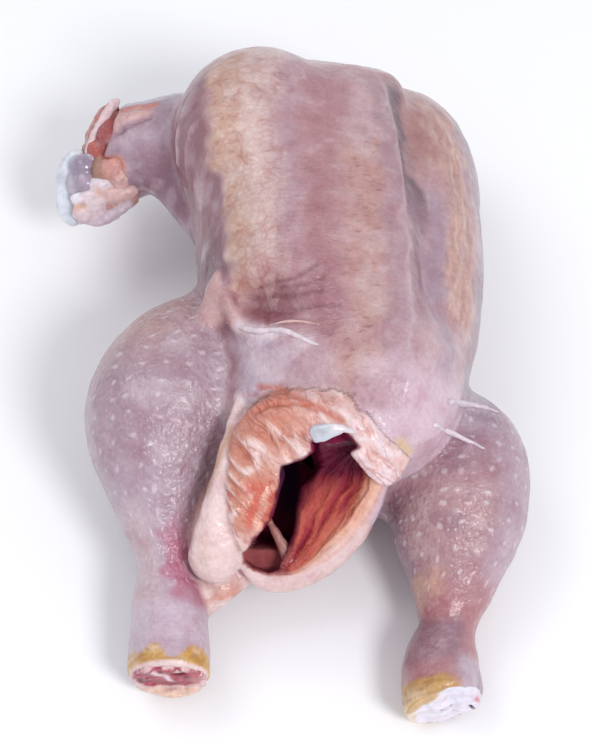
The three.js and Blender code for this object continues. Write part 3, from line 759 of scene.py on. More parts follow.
def skin_tint():
    """The skin's colour at each point, from the zones of a plucked bird, with painted shade and painted
    highlights laid over it in places.
    """
    points = place.points
    tint = np.tile(np.array(linear("#bb999e")[:3]), (len(points), 1))
    lay = painter(tint)
    wide, mid, fine = cloud(points, 26, 21), cloud(points, 10, 22), cloud(points, 4.5, 23)
    turn, along, torso_mask = place.turn + 2.2 * mid + 1.2 * fine, place.along + 3 * mid, place.torso

    def trunk(turns, alongs=(-200, 200, 1), strength=1):
        """A patch of the trunk between two turns round it and two places along it, with soft edges."""
        return torso_mask * band(turn, *turns) * band(along, *alongs) * strength

    # torso, from the bird's right side over the keel to its left
    # the bird's right side, turned from the key lamp, laid in a darker mauve: partly its own tone, partly
    # painted shade
    lay("#8d626c", trunk((-145, -67, 4)))
    lay("#b0919a", SIDE_FOLDS * 0.6)
    # painted shadow low on the bird's right side, in the gap between the body and the thigh
    lay("#6f4d5a", trunk((-125, -70, 8), (-26, 8, 10), 0.7))
    lay("#b98f8c", torso_mask * band(turn, -100, -66, 4) * eased(along, 68, 84))
    lay("#c4a294", OUTER_TRACT)
    lay("#c8a38d", OUTER_TRACT * (1 - eased(turn, -62, -55)) * eased(fine + 0.6, 0, 1) * 0.75)
    lay("#cdb3b0", OUTER_TRACT * eased(turn, -61, -53))
    lay("#c2a5a9", OUTER_TRACT * eased(turn, -52, -44))
    lay("#d3bcb5", OUTER_TRACT * eased(mid + fine, 0.2, 1.3) * 0.6)
    lay("#b08e98", trunk((-44, -36, 4), (-10, 92, 8)))
    lay("#ab7e83", trunk((-37, -20, 6), (-48, 95, 10)))
    lay("#9d6a74", trunk((-52, -24, 5), (-34, -10, 7), 0.6))
    lay("#b78f8a", INNER_TRACT)
    lay("#b3767c", trunk((-66, -48, 5), (-34, -14, 6), 0.6))
    lay("#a8868e", trunk((-7, 3.5, 3.5)))
    # painted highlight along the keel's crest
    lay("#c3abb2", torso_mask * np.exp(-((turn - 2.5) / 1.2) ** 2) * band(along, -60, 85, 8) * 0.7)
    lay("#a58a97", trunk((14, 28, 5), (-70, 30, 8)))
    lay("#a87a78", torso_mask * band(turn, 11, 34, 5) * eased(along, 28, 50))
    # painted shade in the groove on the left of the keel, strongest in its upper part
    lay("#61434f", torso_mask * band(turn, 3.5, np.interp(along, [10, 50], [18, 12]), 3)
        * band(along, 16, 84, 12) * 0.9)
    lay("#866371", trunk((5, 13, 3.5), (-34, 24, 10), 0.9))
    lay("#bb958d", LEFT_TRACT)
    lay("#99878f", trunk((43, 120, 6)))
    lay("#b8959a", torso_mask * eased(np.abs(turn), 110, 145))
    # paler towards the breast's rear end: partly the skin's own tone, partly painted highlight
    lay("#caafbb", torso_mask * eased(-along, 44, 62) * band(turn, -16, 60, 7))
    lay("#b99ea8", trunk((-3, 4, 2.5), (-62, -20, 10), 0.5))
    lay("#bd9690", torso_mask * eased(along, 76, 98) * 0.8)
    lay("#a36f78", torso_mask * eased(mid + 0.5 * wide, 0.35, 1.2) * 0.4)
    lay("#c2abb1", torso_mask * eased(-mid + 0.5 * fine, 0.35, 1.2) * 0.35)
    # legs
    lay("#a88d99", place.right_leg)
    lay("#b8958f", place.right_leg * eased(right_along, -44, -20) * band(right_round, -110, 0, 25) * 0.8)
    lay("#b5a0ad", place.right_leg * eased(-right_along, 60, 88))
    lay("#cbb0b3", place.right_leg * band(right_along, -122, -84, 8)
        * band(right_round + 10 * mid, -100, -15, 20) * 0.6)
    lay("#b46c84", place.right_leg * band(right_along, -114, -88, 5)
        * band(right_round + 14 * fine, 5, 100, 14) * 0.9)
    lay("#bfaab8", place.right_leg * eased(-right_along, 112, 118))
    lay("#9f7c88", place.right_leg * eased(mid, 0.3, 1.2) * 0.45)
    lay("#c5b3bb", place.right_leg * eased(-mid - 0.4 * fine, 0.3, 1.2) * 0.4)
    lay("#a07c89", place.left_leg)
    lay("#b3a0ad", place.left_leg * eased(left_along, -60, -50))
    lay("#ab919e", place.left_leg * band(left_round, 30, 120, 12) * 0.9)
    lay("#b08a8c", place.left_leg * band(left_round, -60, 30, 15) * band(left_along, -104, -72, 10) * 0.8)
    lay("#a87479", place.left_leg * eased(-left_along, 98, 112))
    lay("#94707b", place.left_leg * band(left_along, -134, -118, 4) * band(left_round, -80, 30, 15))
    lay("#b7a7b3", place.left_leg * eased(-left_along, 128, 136) * band(left_round, 20, 120, 10))
    lay("#865f70", place.left_leg * eased(mid, 0.2, 1.1) * 0.5)
    lay("#bda6ac", place.left_leg * eased(-mid - 0.4 * fine, 0.3, 1.2) * 0.4)
    # golden scales' skin left at the hocks, where the feet came off
    ragged = 1.6 * fine + 1.2 * mid
    dip = 5 * np.exp(-((right_round - 8) / 26) ** 2) + 1.0 * np.exp(-((right_round - 75) / 40) ** 2)
    gold_right = place.right_leg * eased(-right_along - dip + ragged, 128.4, 129.8)
    lay("#c79a4e", gold_right)
    lay("#dcc4a8", gold_right * eased(fine - 0.5 * mid, 0.3, 0.9) * 0.6)
    lay("#9c6c34", gold_right * eased(np.abs(np.sin(right_along * 1.1 + 2 * fine)), 0.75, 1) * 0.5)
    lay("#e2c8c6", place.right_leg * eased(-right_along, 134.9, 135.7))
    gold_left = place.left_leg * eased(-left_along + ragged, 137.5, 140)
    gold_left = gold_left * eased(-left_round + 6 * ragged, -35, -10)
    lay("#c09556", gold_left)
    lay("#d9bf9c", gold_left * eased(-left_along + ragged, 143, 147) * 0.8)
    lay("#cda58c", place.left_leg * band(left_along + 2 * fine, -112, -102, 3)
        * band(left_round, -80, -15, 15) * 0.6)
    lay("#9c5a62", place.left_leg * band(left_along + 2 * fine, -117, -110, 2)
        * band(left_round + 10 * fine, -60, 10, 10) * 0.6)
    lay("#96703a", gold_left * eased(np.abs(np.sin(left_along * 1.0 + 2 * fine)), 0.8, 1) * 0.5)
    # wing
    lay("#a58a98", place.wing)
    # painted shade: the arm darker on its underside towards the body, in the crease between them
    lay("#8a6374", place.wing * eased(60 - points[:, 1] + 2 * mid, -6, 6) * eased(points[:, 0], -86, -64))
    lay("#b9a3b0", place.wing * eased(-fine - mid, 0.3, 1.4) * 0.5)
    lay("#b9b0bc", place.wing * eased(points[:, 1] + 2 * fine, 82, 88) * 0.8)
    lay("#cfa59f", np.clip(1.3 * WING_BULGE, 0, 1) * place.wing * 0.9)
    lay("#cba29e", ridge(points, [(-84.5, 84, 61.5), (-84.5, 72, 61)], 1.8) * place.wing)
    lay("#c2766b", eased(WING_BAR, 0.3, 0.45) * place.wing)
    # painted shade in the groove of the wing's fold
    lay("#79536a", WING_FOLD * 0.85)
    lay("#c8b2bd", ARM_ROOT_FOLD * 0.8)
    # painted shade in the crease beside the fold at the arm's root
    lay("#80566a", ridge(points, [(-57, 57.7, 80), (-57.5, 50, 70)], 1.3) * 0.6)
    lay("#cdbac3", ridge(points, [(-82, 57.5, 44.8), (-78, 57, 45.2), (-70, 55, 47)], 1.0)
        * place.wing * 0.8)
    lay("#c58a7e", place.wing * (1 - eased(np.abs(TORN_EDGE + 0.5 * fine), 0.6, 2.2)))
    lay("#a5524a", place.wing * eased(-points[:, 0] + 0.24 * points[:, 1] + 0.15 * points[:, 2], 113, 113.8))
    # loose skin round the mouth; its folds' hollows darker and warmer than their tops, partly the skin's own
    # tone and partly painted shade, and its crinkles' tops paler as painted highlight
    rear = place.rear * torso_mask
    web = band(place.across + 2 * mid, -28, 3, 4) * band(place.up + 2 * mid, 28, 58, 4) * torso_mask
    web = web * eased(-place.along, 14, 22)
    lay("#b5959e", web)
    lay("#b5a4b3", web * (1 - eased(place.across + 2 * mid, -18, -10)) * 0.9)
    lay("#a48b9c", web * band(place.across, -19, -7, 3) * band(place.up + 2 * fine, 46, 55, 3) * 0.7)
    lay("#d3bfc6", web * eased(cloud(flat(place.lean_a, place.lean_b), (14, 4, 9), 24), 0.2, 0.8) * 0.5)
    lay("#c9adb2", rear)
    # painted shadow in the hollow behind the web's edge, and painted shade along its creases
    lay("#8b5560", POCKET_SHADOW * 0.9)
    lay("#a0707a", torso_mask * band(place.across, -8, 12, 5) * band(place.up, 62, 74, 4) * 0.5)
    lay("#743a44", pocket_lines * 0.6)
    lay("#cda5a3", (1 - eased(place.near["tuft"], 0.2, 2.2)) * 0.75)
    # painted highlight along the tuft's crest, and painted shade in the crease beside it
    lay("#dcc0bf", ridge(points, [(-43.5, -8, 74), (-43.8, -11, 71), (-43, -16, 70)], 1.6) * 0.7)
    lay("#7f5560", ridge(points, [(-40.3, -8, 74), (-38.5, -13, 76), (-35.5, -19, 78)], 1.3) * 0.8)
    lay("#dccdd4", ridge(points, [(-34.7, -27.7, 75.8), (-29, -32.2, 79.7), (-23.8, -34.5, 82.4)], 2.6))
    lay("#b99a68", ridge(points, [(-35.5, -31, 75.5), (-35, -36, 75)], 1.4) * 0.8)
    lay("#c9a878", ridge(points, [(20.5, -72, 70.5), (23, -73, 66)], 2.4))
    lay("#d0a39c", rear * eased(-place.up, -33, -26))
    hollow = 1 - eased(crinkle, -0.3, 0.5)
    lay("#dfc3c1", place.flap)
    warm = 1 - eased(place.across - 0.35 * place.up + 4 * mid, -22, -10)
    lay("#d49c88", place.flap * warm * 0.7)
    lay("#bf9484", place.flap * (1 - eased(place.across + 2 * mid, -27, -21))
        * eased(-place.up, -18, -4) * 0.8)
    # painted shade in the folds' hollows over the skin's warm tone, and painted highlight on the crinkles'
    # tops
    lay("#c87e66", place.flap * hollow * (0.34 + 0.4 * warm))
    lay("#e6d0ce", place.flap * eased(crinkle, 0.3, 1.0) * 0.75)
    edge_zone = place.flap * band(place.across + mid, -24, -12, 2) * band(place.up, -17, 6, 3)
    slant = cloud(flat(0.87 * place.across - 0.5 * place.up, 0.5 * place.across + 0.87 * place.up),
                  (2.0, 7, 9), 25)
    lay("#dda08a", edge_zone * 0.8)
    lay("#c84f38", edge_zone * eased(slant, 0.0, 0.6) * 0.8)
    lay("#c5674a", web_lines * 0.8)
    lay("#e6cdcc", place.roll)
    lay("#e2c2ad", place.roll * eased(fine + mid, 0.4, 1.2) * 0.35)
    lay("#c58e66", place.roll * stroke(place.across, place.up,
                                       [(-38.5, 2), (-36.5, 9), (-33, 15), (-29.5, 24)], 1.3) * 0.8)
    tail = eased(-points[:, 1], 95, 101) * (1 - place.right_leg) * (1 - place.left_leg) * (1 - place.roll)
    lay("#d2b0ab", tail)
    lay("#e6d0c8", tail * eased(-fine, 0.2, 0.7) * 0.6)
    lay("#c06e4c", tail * eased(fine + 0.6 * mid, 0.1, 0.55) * (place.across < -24) * 0.85)
    lay("#ddc0bf", rear * eased(place.rim, 0.55, 0.85) * eased(-place.up, 2, 14))
    # the left flap's inner face: maroon by the way in, then brown, orange and pale at the rolled rim
    share = place.rim + 0.06 * mid
    share = share * (1 - 0.8 * eased(place.up, 11, 16) * (1 - eased(place.across, 13, 18)))
    lay("#a93d48", place.bowl)
    lay("#c66a56", place.bowl * eased(ridges, 0.2, 0.9) * 0.75)
    lay("#7a1c34", place.bowl * eased(-ridges, 0.1, 0.8) * 0.8)
    lay("#cf7a60", place.bowl * eased(share, 0.52, 0.62) * 0.9)
    lay("#e3b09a", place.bowl * eased(share, 0.6, 0.74))
    lay("#e8cac5", place.bowl * eased(share, 0.74, 0.88))
    # painted shade: the hollow's upper part and its edge by the way in laid in darker maroon
    lay("#741530", place.bowl * (1 - eased(share, 0.5, 0.7)) * eased(place.up, -2, 9) * 0.9)
    lay("#661028", place.bowl * (1 - eased(share, 0.0, 0.14)) * 0.8)
    # painted shade on the ledge just inside the top of the way in, kept off the lobe's colour
    inner_ledge_shade = band(place.across, -4, 15, 2) * band(place.up, 8, 21, 2) * eased(place.depth, 3, 6)
    lay("#641434", inner_ledge_shade)
    lay("#e4cfd2", place.lobe * (1 - inner_ledge_shade))
    # painted shade: deep in the cavity, and over the way in, near black on its left, maroon at its upper
    # right and lighter towards its shallow lower end
    lay("#4a1630", eased(place.deep, 3, 9))
    # the lobe's hollows too: painted shade over its warm tone
    lay("#cd8a6e", place.lobe * hollow * 0.35)
    lay("#6a1c38", place.hole)
    lay("#3c1c3c", place.hole * band(place.across, -13, -6, 2) * band(place.up, -8, 12, 4))
    lay("#7c2044", place.hole * band(place.across, -4, 14, 3) * eased(place.up, 2, 12))
    lay("#a3585a", place.hole * eased(-place.up, 17.5, 19.5))
    lay("#6c3040", place.hole * eased(-place.up, 17.5, 19.5) * eased(fine + 0.5 * mid, -0.1, 0.7) * 0.7)
    return tint


def chicken_skin():
    """Plucked poultry skin: thin, moist and half clear over fat, with pebbled feather tracts."""
    material, tree = new_material("poultry_skin")
    node = functools.partial(add_node, tree)

    def thin_lines(pattern, width):
        """Lines along a pattern's middle level."""
        off_middle = node("Math.ABSOLUTE", node("Math.SUBTRACT", pattern, 0.5))
        return node("MapRange.SMOOTHSTEP", off_middle, 0.0, width, 1.0, 0.0)

    layers = {name: node("Attribute", attribute_name=name).node.outputs
              for name in ("tint", "zones", "creases", "dull", "feather_layout")}
    tract, dots, loose = node("SeparateColor", layers["zones"]["Color"]).node.outputs
    dashes, streaks, across_lines = node("SeparateColor", layers["creases"]["Color"]).node.outputs
    film = node("Math.SUBTRACT", 1.0, layers["dull"]["Fac"])
    spot = node("TexCoord").node.outputs["Object"]
    # soft noises, their lumps' size in millimetres
    sway, blotch, speckle, grain, rumple, wet = (
        node("TexNoise", spot, 1000 / size_mm, detail, rough)
        for size_mm, detail, rough in ((5, 2.0, 0.5), (8, 5.0, 0.62), (1.6, 4.0, 0.7), (0.9, 3.0, 0.6),
                                       (3.2, 3.0, 0.55), (2.1, 2.0, 0.5)))
    shift = node("VectorMath.MULTIPLY_ADD", sway.node.outputs["Color"], (0.0034, 0.0034, 0.0),
                 layers["feather_layout"]["Vector"])
    # the layout drawn out along dots, slanting creases, streaks, wrinkles and the loose skin's folds
    wide, slanted, drawn_out, drawn_across, drawn_folds = (
        node("Mapping", shift, Rotation=(0, 0, math.radians(slant)), Scale=scale)
        for slant, scale in ((0, (0.8, 1.0, 1.0)), (-58, (0.42, 1.0, 1.0)), (0, (1.0, 0.16, 1.0)),
                             (0, (0.16, 1.0, 1.0)), (0, (1.0, 0.24, 1.0))))
    # pebbles of the feather tracts 4.2 mm apart with smaller ones between, their tones, follicles 6.6 mm
    # apart with fainter ones between, and short creases 2.7 mm apart
    pebbles, small_pebbles, tones, pores, faint_pores, dash_spots = (
        node("TexVoronoi", where, 1000 / apart_mm, Randomness=loose_grid, voronoi_dimensions="2D",
             feature=feature)
        for where, apart_mm, loose_grid, feature in (
            (shift, 4.2, 0.9, "DISTANCE_TO_EDGE"), (shift, 2.3, 1.0, "DISTANCE_TO_EDGE"),
            (shift, 4.2, 0.9, "F1"), (wide, 6.6, 0.6, "F1"), (shift, 3.4, 0.9, "F1"),
            (slanted, 2.7, 0.6, "F1")))
    tone = node("SeparateColor", tones.node.outputs["Color"])
    broken = node("MapRange.SMOOTHSTEP", blotch, 0.38, 0.62, 0.35, 1.0)
    big_lines = node("Math.MULTIPLY", node("MapRange.SMOOTHSTEP", pebbles, 0.0, 0.3, 1.0, 0.0), broken)
    small_lines = node("Math.MULTIPLY", node("MapRange.SMOOTHSTEP", small_pebbles, 0.0, 0.3, 1.0, 0.0), 0.55)
    lines = node("Math.MULTIPLY", node("Math.MAXIMUM", big_lines, small_lines), tract)
    faint_dot = node("Math.MULTIPLY", node("MapRange.SMOOTHSTEP", faint_pores, 0.0, 0.26, 1.0, 0.0), 0.35)
    full_dot = node("MapRange.SMOOTHSTEP", pores, 0.04, 0.2, 1.0, 0.0)
    dot = node("Math.MULTIPLY", node("Math.MAXIMUM", full_dot, faint_dot), dots)
    dash = node("Math.MULTIPLY", node("MapRange.SMOOTHSTEP", dash_spots, 0.0, 0.3, 1.0, 0.0),
                node("Math.MULTIPLY", dashes, broken))
    # lengthwise streaks of the left tract, fine wrinkles across the breast, and the loose skin's thin pleats
    streak = node("TexNoise", drawn_out, 1000 / 2.0, 3.0)
    fold_line = node("Math.MULTIPLY", thin_lines(node("TexNoise", drawn_across, 1000 / 1.8, 2.0), 0.035),
                     across_lines)
    pleat = node("TexNoise", drawn_folds, 1000 / 2.8, 2.0, 0.5, Distortion=0.3)
    pleat_line = node("Math.MULTIPLY", thin_lines(pleat, 0.08), node("Math.MULTIPLY", loose, broken))
    # colour: tint, then blood showing through, pebbles, follicles and creases
    colour = layers["tint"]["Color"]
    for mask, strength, laid, way in (
            (node("MapRange.SMOOTHSTEP", blotch, 0.44, 0.72), 0.36, "#cf98a6", "MULTIPLY"),
            (node("Math.MULTIPLY", node("MapRange.SMOOTHSTEP", blotch, 0.3, 0.46, 1.0, 0.0), film), 0.22,
             "#d9c6cc", "MIX"),
            (node("Math.MULTIPLY", node("MapRange.SMOOTHSTEP", tone, 0.35, 1.0), tract), 0.3, "#e0cdca",
             "MIX"),
            (lines, 0.5, "#dcae94", "MULTIPLY"),
            (dot, 0.46, "#dccdd3", "MIX"),
            (pleat_line, 0.55, "#d98a6c", "MULTIPLY"),
            (dash, 0.4, "#c4917f", "MULTIPLY"),
            (fold_line, 0.14, "#bd8a8c", "MULTIPLY"),
            (node("Math.MULTIPLY", node("MapRange.SMOOTHSTEP", streak, 0.5, 0.68), streaks), 0.35,
             "#dcc0aa", "MIX"),
            (node("Math.MULTIPLY", node("MapRange.SMOOTHSTEP", streak, 0.5, 0.34), streaks), 0.3, "#b98478",
             "MULTIPLY")):
        colour = node("Mix." + way, node("Math.MULTIPLY", mask, strength), colour, linear(laid),
                      data_type="RGBA")
    colour = node("Mix.MULTIPLY", 1.0, colour, node("MapRange.SMOOTHSTEP", speckle, 0.25, 0.8, 0.9, 1.1),
                  data_type="RGBA")
    # relief finer than the mesh, in millimetres
    height = node("Math.MULTIPLY", rumple, 0.6)
    wet_beads = node("Math.MULTIPLY", wet, node("Math.MAXIMUM", dots, 0.35))
    puffs = node("Math.MULTIPLY", pleat, loose)
    cords = node("Math.MULTIPLY", streak, streaks)
    for pattern, rise_mm in ((grain, 0.16), (pleat_line, -0.2), (puffs, 1.3), (lines, -0.12), (dot, 0.3),
                             (dash, -0.4), (fold_line, -0.08), (cords, 0.45), (wet_beads, 0.9)):
        height = node("Math.MULTIPLY_ADD", pattern, rise_mm, height)
    bump = node("Bump", 0.9, 0.001, Height=height)
    roughness = node("Math.MULTIPLY_ADD", layers["dull"]["Fac"], 0.3,
                     node("MapRange.SMOOTHSTEP", rumple, 0.3, 0.7, 0.34, 0.52))
    shader = node("BsdfPrincipled", colour, Roughness=roughness, Subsurface_Weight=0.25,
                  Subsurface_Radius=(1.0, 0.45, 0.35), Subsurface_Scale=0.0018, IOR=1.42,
                  Specular_IOR_Level=node("Math.MULTIPLY_ADD", film, 0.45, 0.05),
                  Coat_Weight=node("Math.MULTIPLY", film, 0.6), Coat_Roughness=0.09, Normal=bump,
                  Coat_Normal=bump)
    node("OutputMaterial", shader)
    return material


def colour_layer(mesh, name, values):
    layer = mesh.attributes.new(name, "FLOAT_COLOR", "POINT")
    rgba = np.ones((len(values), 4))
    rgba[:, :3] = values
    layer.data.foreach_set("color", rgba.ravel())


def value_layer(mesh, name, kind, field, values):
    layer = mesh.attributes.new(name, kind, "POINT")
    layer.data.foreach_set(field, np.ravel(values))


CALF_ROUND, LEFT_CALF_ROUND = 24, 22     # turn radians round the calves into millimetres
skin = mesh_piece("skin", skin_shape, skin_quads, chicken_skin())
colour_layer(skin.data, "tint", skin_tint())
calves = place.right_leg * eased(right_along, -118, -100) + place.left_leg * eased(left_along, -118, -104)
follicles = np.clip(calves + 0.35 * place.wing, 0, 1)
loose = np.clip(place.flap + place.bowl + place.lobe + place.roll, 0, 1)
inner_bowl = place.bowl * (1 - eased(place.rim, 0.7, 0.9))
pleats = np.clip(place.flap + 0.8 * inner_bowl + place.lobe + 0.15 * place.roll, 0, 1) * (1 - place.hole)
colour_layer(skin.data, "zones", np.stack([tracts * (1 - loose), follicles * (1 - loose), pleats], 1))
middle_breast = band(place.turn, -46, -20, 5) * band(place.along, -46, 30, 8)
middle_breast = middle_breast * place.torso * (1 - place.rear)
colour_layer(skin.data, "creases", np.stack([INNER_TRACT * (1 - loose), LEFT_TRACT, middle_breast], 1))
dark_bowl = 0.75 * place.bowl * (1 - eased(place.rim, 0.5, 0.8))
dulled = np.maximum(np.maximum(place.hole, eased(place.deep, 3, 9)), dark_bowl)
value_layer(skin.data, "dull", "FLOAT", "value", np.clip(dulled, 0, 1))
feather = flat(np.radians(left_round) * LEFT_CALF_ROUND, left_along)
for zone, layout in ((place.right_leg > 0.5, flat(np.radians(right_round) * CALF_ROUND, right_along)),
                     (place.torso > 0.5, flat(place.girth, place.along)),
                     (loose > 0.4, flat(place.lean_a, place.lean_b)),
                     ((loose > 0.4) & (place.bowl > 0.4), flat(BOWL_WIDTH * place.rim, place.up))):
    feather = np.where(zone[:, None], layout, feather)
value_layer(skin.data, "feather_layout", "FLOAT_VECTOR", "vector", feather / 1000)
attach(skin, "root")
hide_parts("chicken")


# ==== Elbow of the right wing ======================================================================
# The open joint where the wing was cut off at the elbow: a pad of meat inside the skin's rim, the
# bone ends' gristle caps, and torn fat and membrane hanging under them. Each is its own wet lump.

def moist_tissue(name, grain_mm, roughness, depth_mm, bump_mm):
    """Wet flesh, fat or gristle: half clear, glossy with juice, mottled and finely uneven."""
    material, tree = new_material(name)
    node = functools.partial(add_node, tree)
    mottle = node("TexNoise", node("TexCoord").node.outputs["Object"], 1000 / grain_mm, 4.0, 0.6)
    shade = node("MapRange", mottle, 0.3, 0.7, 0.8, 1.16)
    colour = node("Mix.MULTIPLY", 1.0, node("Attribute", attribute_name="tint"), shade, data_type="RGBA")
    bump = node("Bump", 1.0, bump_mm / 1000, Height=mottle)
    shader = node("BsdfPrincipled", colour, Roughness=roughness, Subsurface_Weight=0.35,
                  Subsurface_Radius=(1.0, 0.5, 0.4), Subsurface_Scale=depth_mm / 1000, IOR=1.42,
                  Coat_Weight=0.6, Coat_Roughness=0.08, Normal=bump, Coat_Normal=bump)
    node("OutputMaterial", shader)
    return material


LUMPS_BOX = ((-112, 60), (-152, 100), (2, 98))        # every lump of tissue lies in it
COARSE_GRID = 3.0
NEAR_LUMP = 3.5


def lump_mesh(parts, blend, spacing, uneven=0.25, seed=40):
    """One skin over several lumps given as (field, colour): vertices, faces and each lump's distance."""
    def field(points):
        total = parts[0][0](points)
        for part, _ in parts[1:]:
            total = soft_min(total, part(points), blend)
        return total + uneven * (cloud(points, 3.5, seed) + 0.5 * cloud(points, 1.6, seed + 1))
    coarse = [graded(low, high, lambda place: COARSE_GRID) for low, high in LUMPS_BOX]
    values = in_chunks(field, np.stack(np.meshgrid(*coarse, indexing="ij"), -1).reshape(-1, 3))
    inside = np.argwhere(values.reshape([len(a) for a in coarse]) < NEAR_LUMP)
    axes = [graded(steps[near.min()] - COARSE_GRID, steps[near.max()] + COARSE_GRID, lambda place: spacing)
            for steps, near in zip(coarse, inside.T)]
    vertices, _, quads = whole_net(field, axes, scattered=True)
    return vertices, quads, np.stack([in_chunks(part, vertices) for part, _ in parts], 1)


def lump_tint(parts, distances, soft=0.5):
    """Each lump's given colour, melting into its neighbours' where they touch."""
    weights = np.exp(-(distances - distances.min(1, keepdims=True)) / soft)
    colours = np.array([linear(colour)[:3] for _, colour in parts])
    return (weights / weights.sum(1, keepdims=True)) @ colours


def tissue_piece(name, vertices, quads, tint, material):
    piece = mesh_piece(name, vertices, quads, material)
    colour_layer(piece.data, "tint", tint)
    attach(piece, "root")


def lump_piece(name, parts, blend, spacing, material, uneven=0.25):
    vertices, quads, distances = lump_mesh(parts, blend, spacing, uneven)
    tissue_piece(name, vertices, quads, lump_tint(parts, distances), material)


wet_meat = moist_tissue("wet_raw_meat", 1.8, 0.4, 1.2, 0.6)
wet_gristle = moist_tissue("wet_joint_gristle", 3.5, 0.28, 2.0, 0.12)
wet_fat = moist_tissue("wet_torn_fat_and_membrane", 2.2, 0.4, 1.6, 0.4)
ELBOW_MEAT = [(limb([(-87.7, 88.5, 56.5, 2.8), (-89.4, 85.4, 54.2, 4.2), (-90.6, 81, 51.5, 5.6),
                     (-91.4, 77, 49, 6.8)]), "#c08078"),
              (limb([(-91, 76.5, 48.5, 7), (-91.6, 71.8, 46.4, 8), (-91.2, 67, 43.6, 8.4)]), "#9d4c45"),
              (limb([(-91.5, 66.5, 43, 8.2), (-91, 62, 40.4, 7.8), (-88.5, 58.2, 39.4, 6.8),
                     (-83.5, 58, 41.6, 6.8)]), "#c49288"),
              (ellipsoid((-88.4, 75.3, 55.6), (4.6, 6, 5.6)), "#9c4342"),
              # a thin dark red line under the skin's edge: painted shadow where the skin's edge overhangs
              # the meat
              (limb([(-85.4, 83, 60.8, 0.9), (-85.6, 77.5, 60.1, 1.2), (-86.8, 72.5, 58.2, 1.1),
                     (-91, 67.5, 54.6, 0.9)]), "#84261f"),
              (limb([(-90.3, 71.8, 55, 2), (-87.5, 71.4, 57, 1.8), (-84.8, 69.8, 58.2, 1.4)]), "#c9a0a2"),
              (limb([(-94.2, 72, 53.4, 2.2), (-93.6, 69.5, 52.4, 2.4), (-90.6, 69, 53.4, 2.8)]), "#b45a54"),
              (ellipsoid((-90.2, 63.8, 49.6), (4.6, 5.6, 5)), "#a87d6c"),
              (ellipsoid((-85.6, 63.2, 50.6), (4.8, 6.4, 6)), "#cd948c"),
              (ellipsoid((-83.2, 66, 53), (3.2, 4, 4)), "#cfa09a"),
              (ellipsoid((-83.4, 60, 48), (4, 5, 5.4)), "#cfaaa6"),
              (limb([(-88.6, 68.5, 54.6, 0.9), (-86.6, 64.5, 54.6, 1), (-85.4, 60.5, 53, 0.9)]), "#a0524a")]
lump_piece("elbow_meat", ELBOW_MEAT, 1.8, 0.6, wet_meat, 0.4)
ELBOW_GRISTLE = [(ellipsoid((-98, 65.8, 48.2), (5.4, 5, 5)), "#97879a"),
                 (ellipsoid((-97.4, 60.6, 45.2), (4.8, 5.2, 5)), "#a797a8"),
                 (ellipsoid((-94.2, 68.6, 51.2), (3.4, 2.6, 2.4)), "#b5a5b4"),
                 (ellipsoid((-102, 63, 43.4), (3, 7, 3.4)), "#b7acb9"),
                 (limb([(-97.6, 71.6, 48.6, 1.8), (-102.2, 71, 46.8, 3.2), (-104.6, 67.6, 44.2, 4.2),
                        (-105.2, 61.2, 39.6, 4.5), (-104.8, 54.4, 35.2, 4.2), (-103, 51.2, 33.2, 2.6)],
                       (0, -0.53, 0.848), 0.5), "#d3d6e0")]
lump_piece("elbow_gristle", ELBOW_GRISTLE, 0.9, 0.6, wet_gristle, 0.08)
ELBOW_FAT = [(limb([(-85, 88.6, 60.8, 1.2), (-86.8, 87, 60.2, 1.9), (-89.9, 82.4, 58.4, 1.9),
                    (-92.5, 78.1, 56.8, 1.7), (-94.8, 73.8, 54.8, 1.5), (-96.4, 70.1, 52.1, 1.2)]),
              "#d6bec3"),
             (limb([(-87.6, 84.4, 58.6, 1.7), (-90.2, 80, 57, 1.7), (-92.2, 76, 55.2, 1.4)]), "#cf9c96"),
             (limb([(-94, 58.6, 46.4, 2.6), (-90.5, 58.6, 47.6, 2.8), (-87.6, 58.8, 47.4, 2.2)]), "#dccfd6"),
             (ellipsoid((-99.5, 55, 41.6), (4, 2.6, 2.8)), "#e6e0e8"),
             (ellipsoid((-94, 55.3, 41), (6.2, 5.4, 5.6)), "#dcc9cf"),
             (ellipsoid((-97.5, 51, 37.8), (5.4, 3.2, 3.8)), "#dcc5ca"),
             (limb([(-101, 51.8, 39.8, 1.3), (-97.6, 52, 41.3, 1.4)]), "#cb8c4e"),
             (limb([(-89.6, 56, 43.8, 3.4), (-86, 55.4, 44.2, 4), (-82, 55.4, 45, 3.6),
                    (-78.6, 56, 45.8, 2)]), "#cfaba8"),
             (limb([(-99.5, 49.8, 34.5, 1.8), (-95.5, 49.8, 34.8, 2.2), (-91, 49.4, 35.8, 2.5),
                    (-86.5, 50.4, 38.2, 2.5), (-81, 52.8, 41.8, 2.2)]), "#c6b3bf"),
             (limb([(-91.2, 57.8, 47, 0.9), (-92.6, 54.4, 45.6, 0.9)]), "#cf8f63")]
lump_piece("elbow_fat", ELBOW_FAT, 1.5, 0.6, wet_fat, 0.28)


# ==== Ends of the drumsticks =======================================================================
# The faces left where the feet were cut off at the hock joints: on the right leg cut meat round a
# white sinew, on the left the joint's smooth white gristle. Both sit just inside the skin's rim.

RIGHT_END, RIGHT_END_FACING = np.array([-59.5, -135.5, 16.0]), np.array([0, -1, -0.1])
LEFT_END, LEFT_END_FACING = np.array([36.5, -145.5, 15.2]), np.array([0.25, -1, 0.05])


def end_face(centre, facing, core, inner, outer):
    """The core of a leg between two planes across it, the outer one slightly uneven."""
    facing = facing / np.linalg.norm(facing)
    stub = trim(core, plane(centre + outer * facing, facing), 1.0)
    return trim(stub, plane(centre - inner * facing, -facing), 0.6)


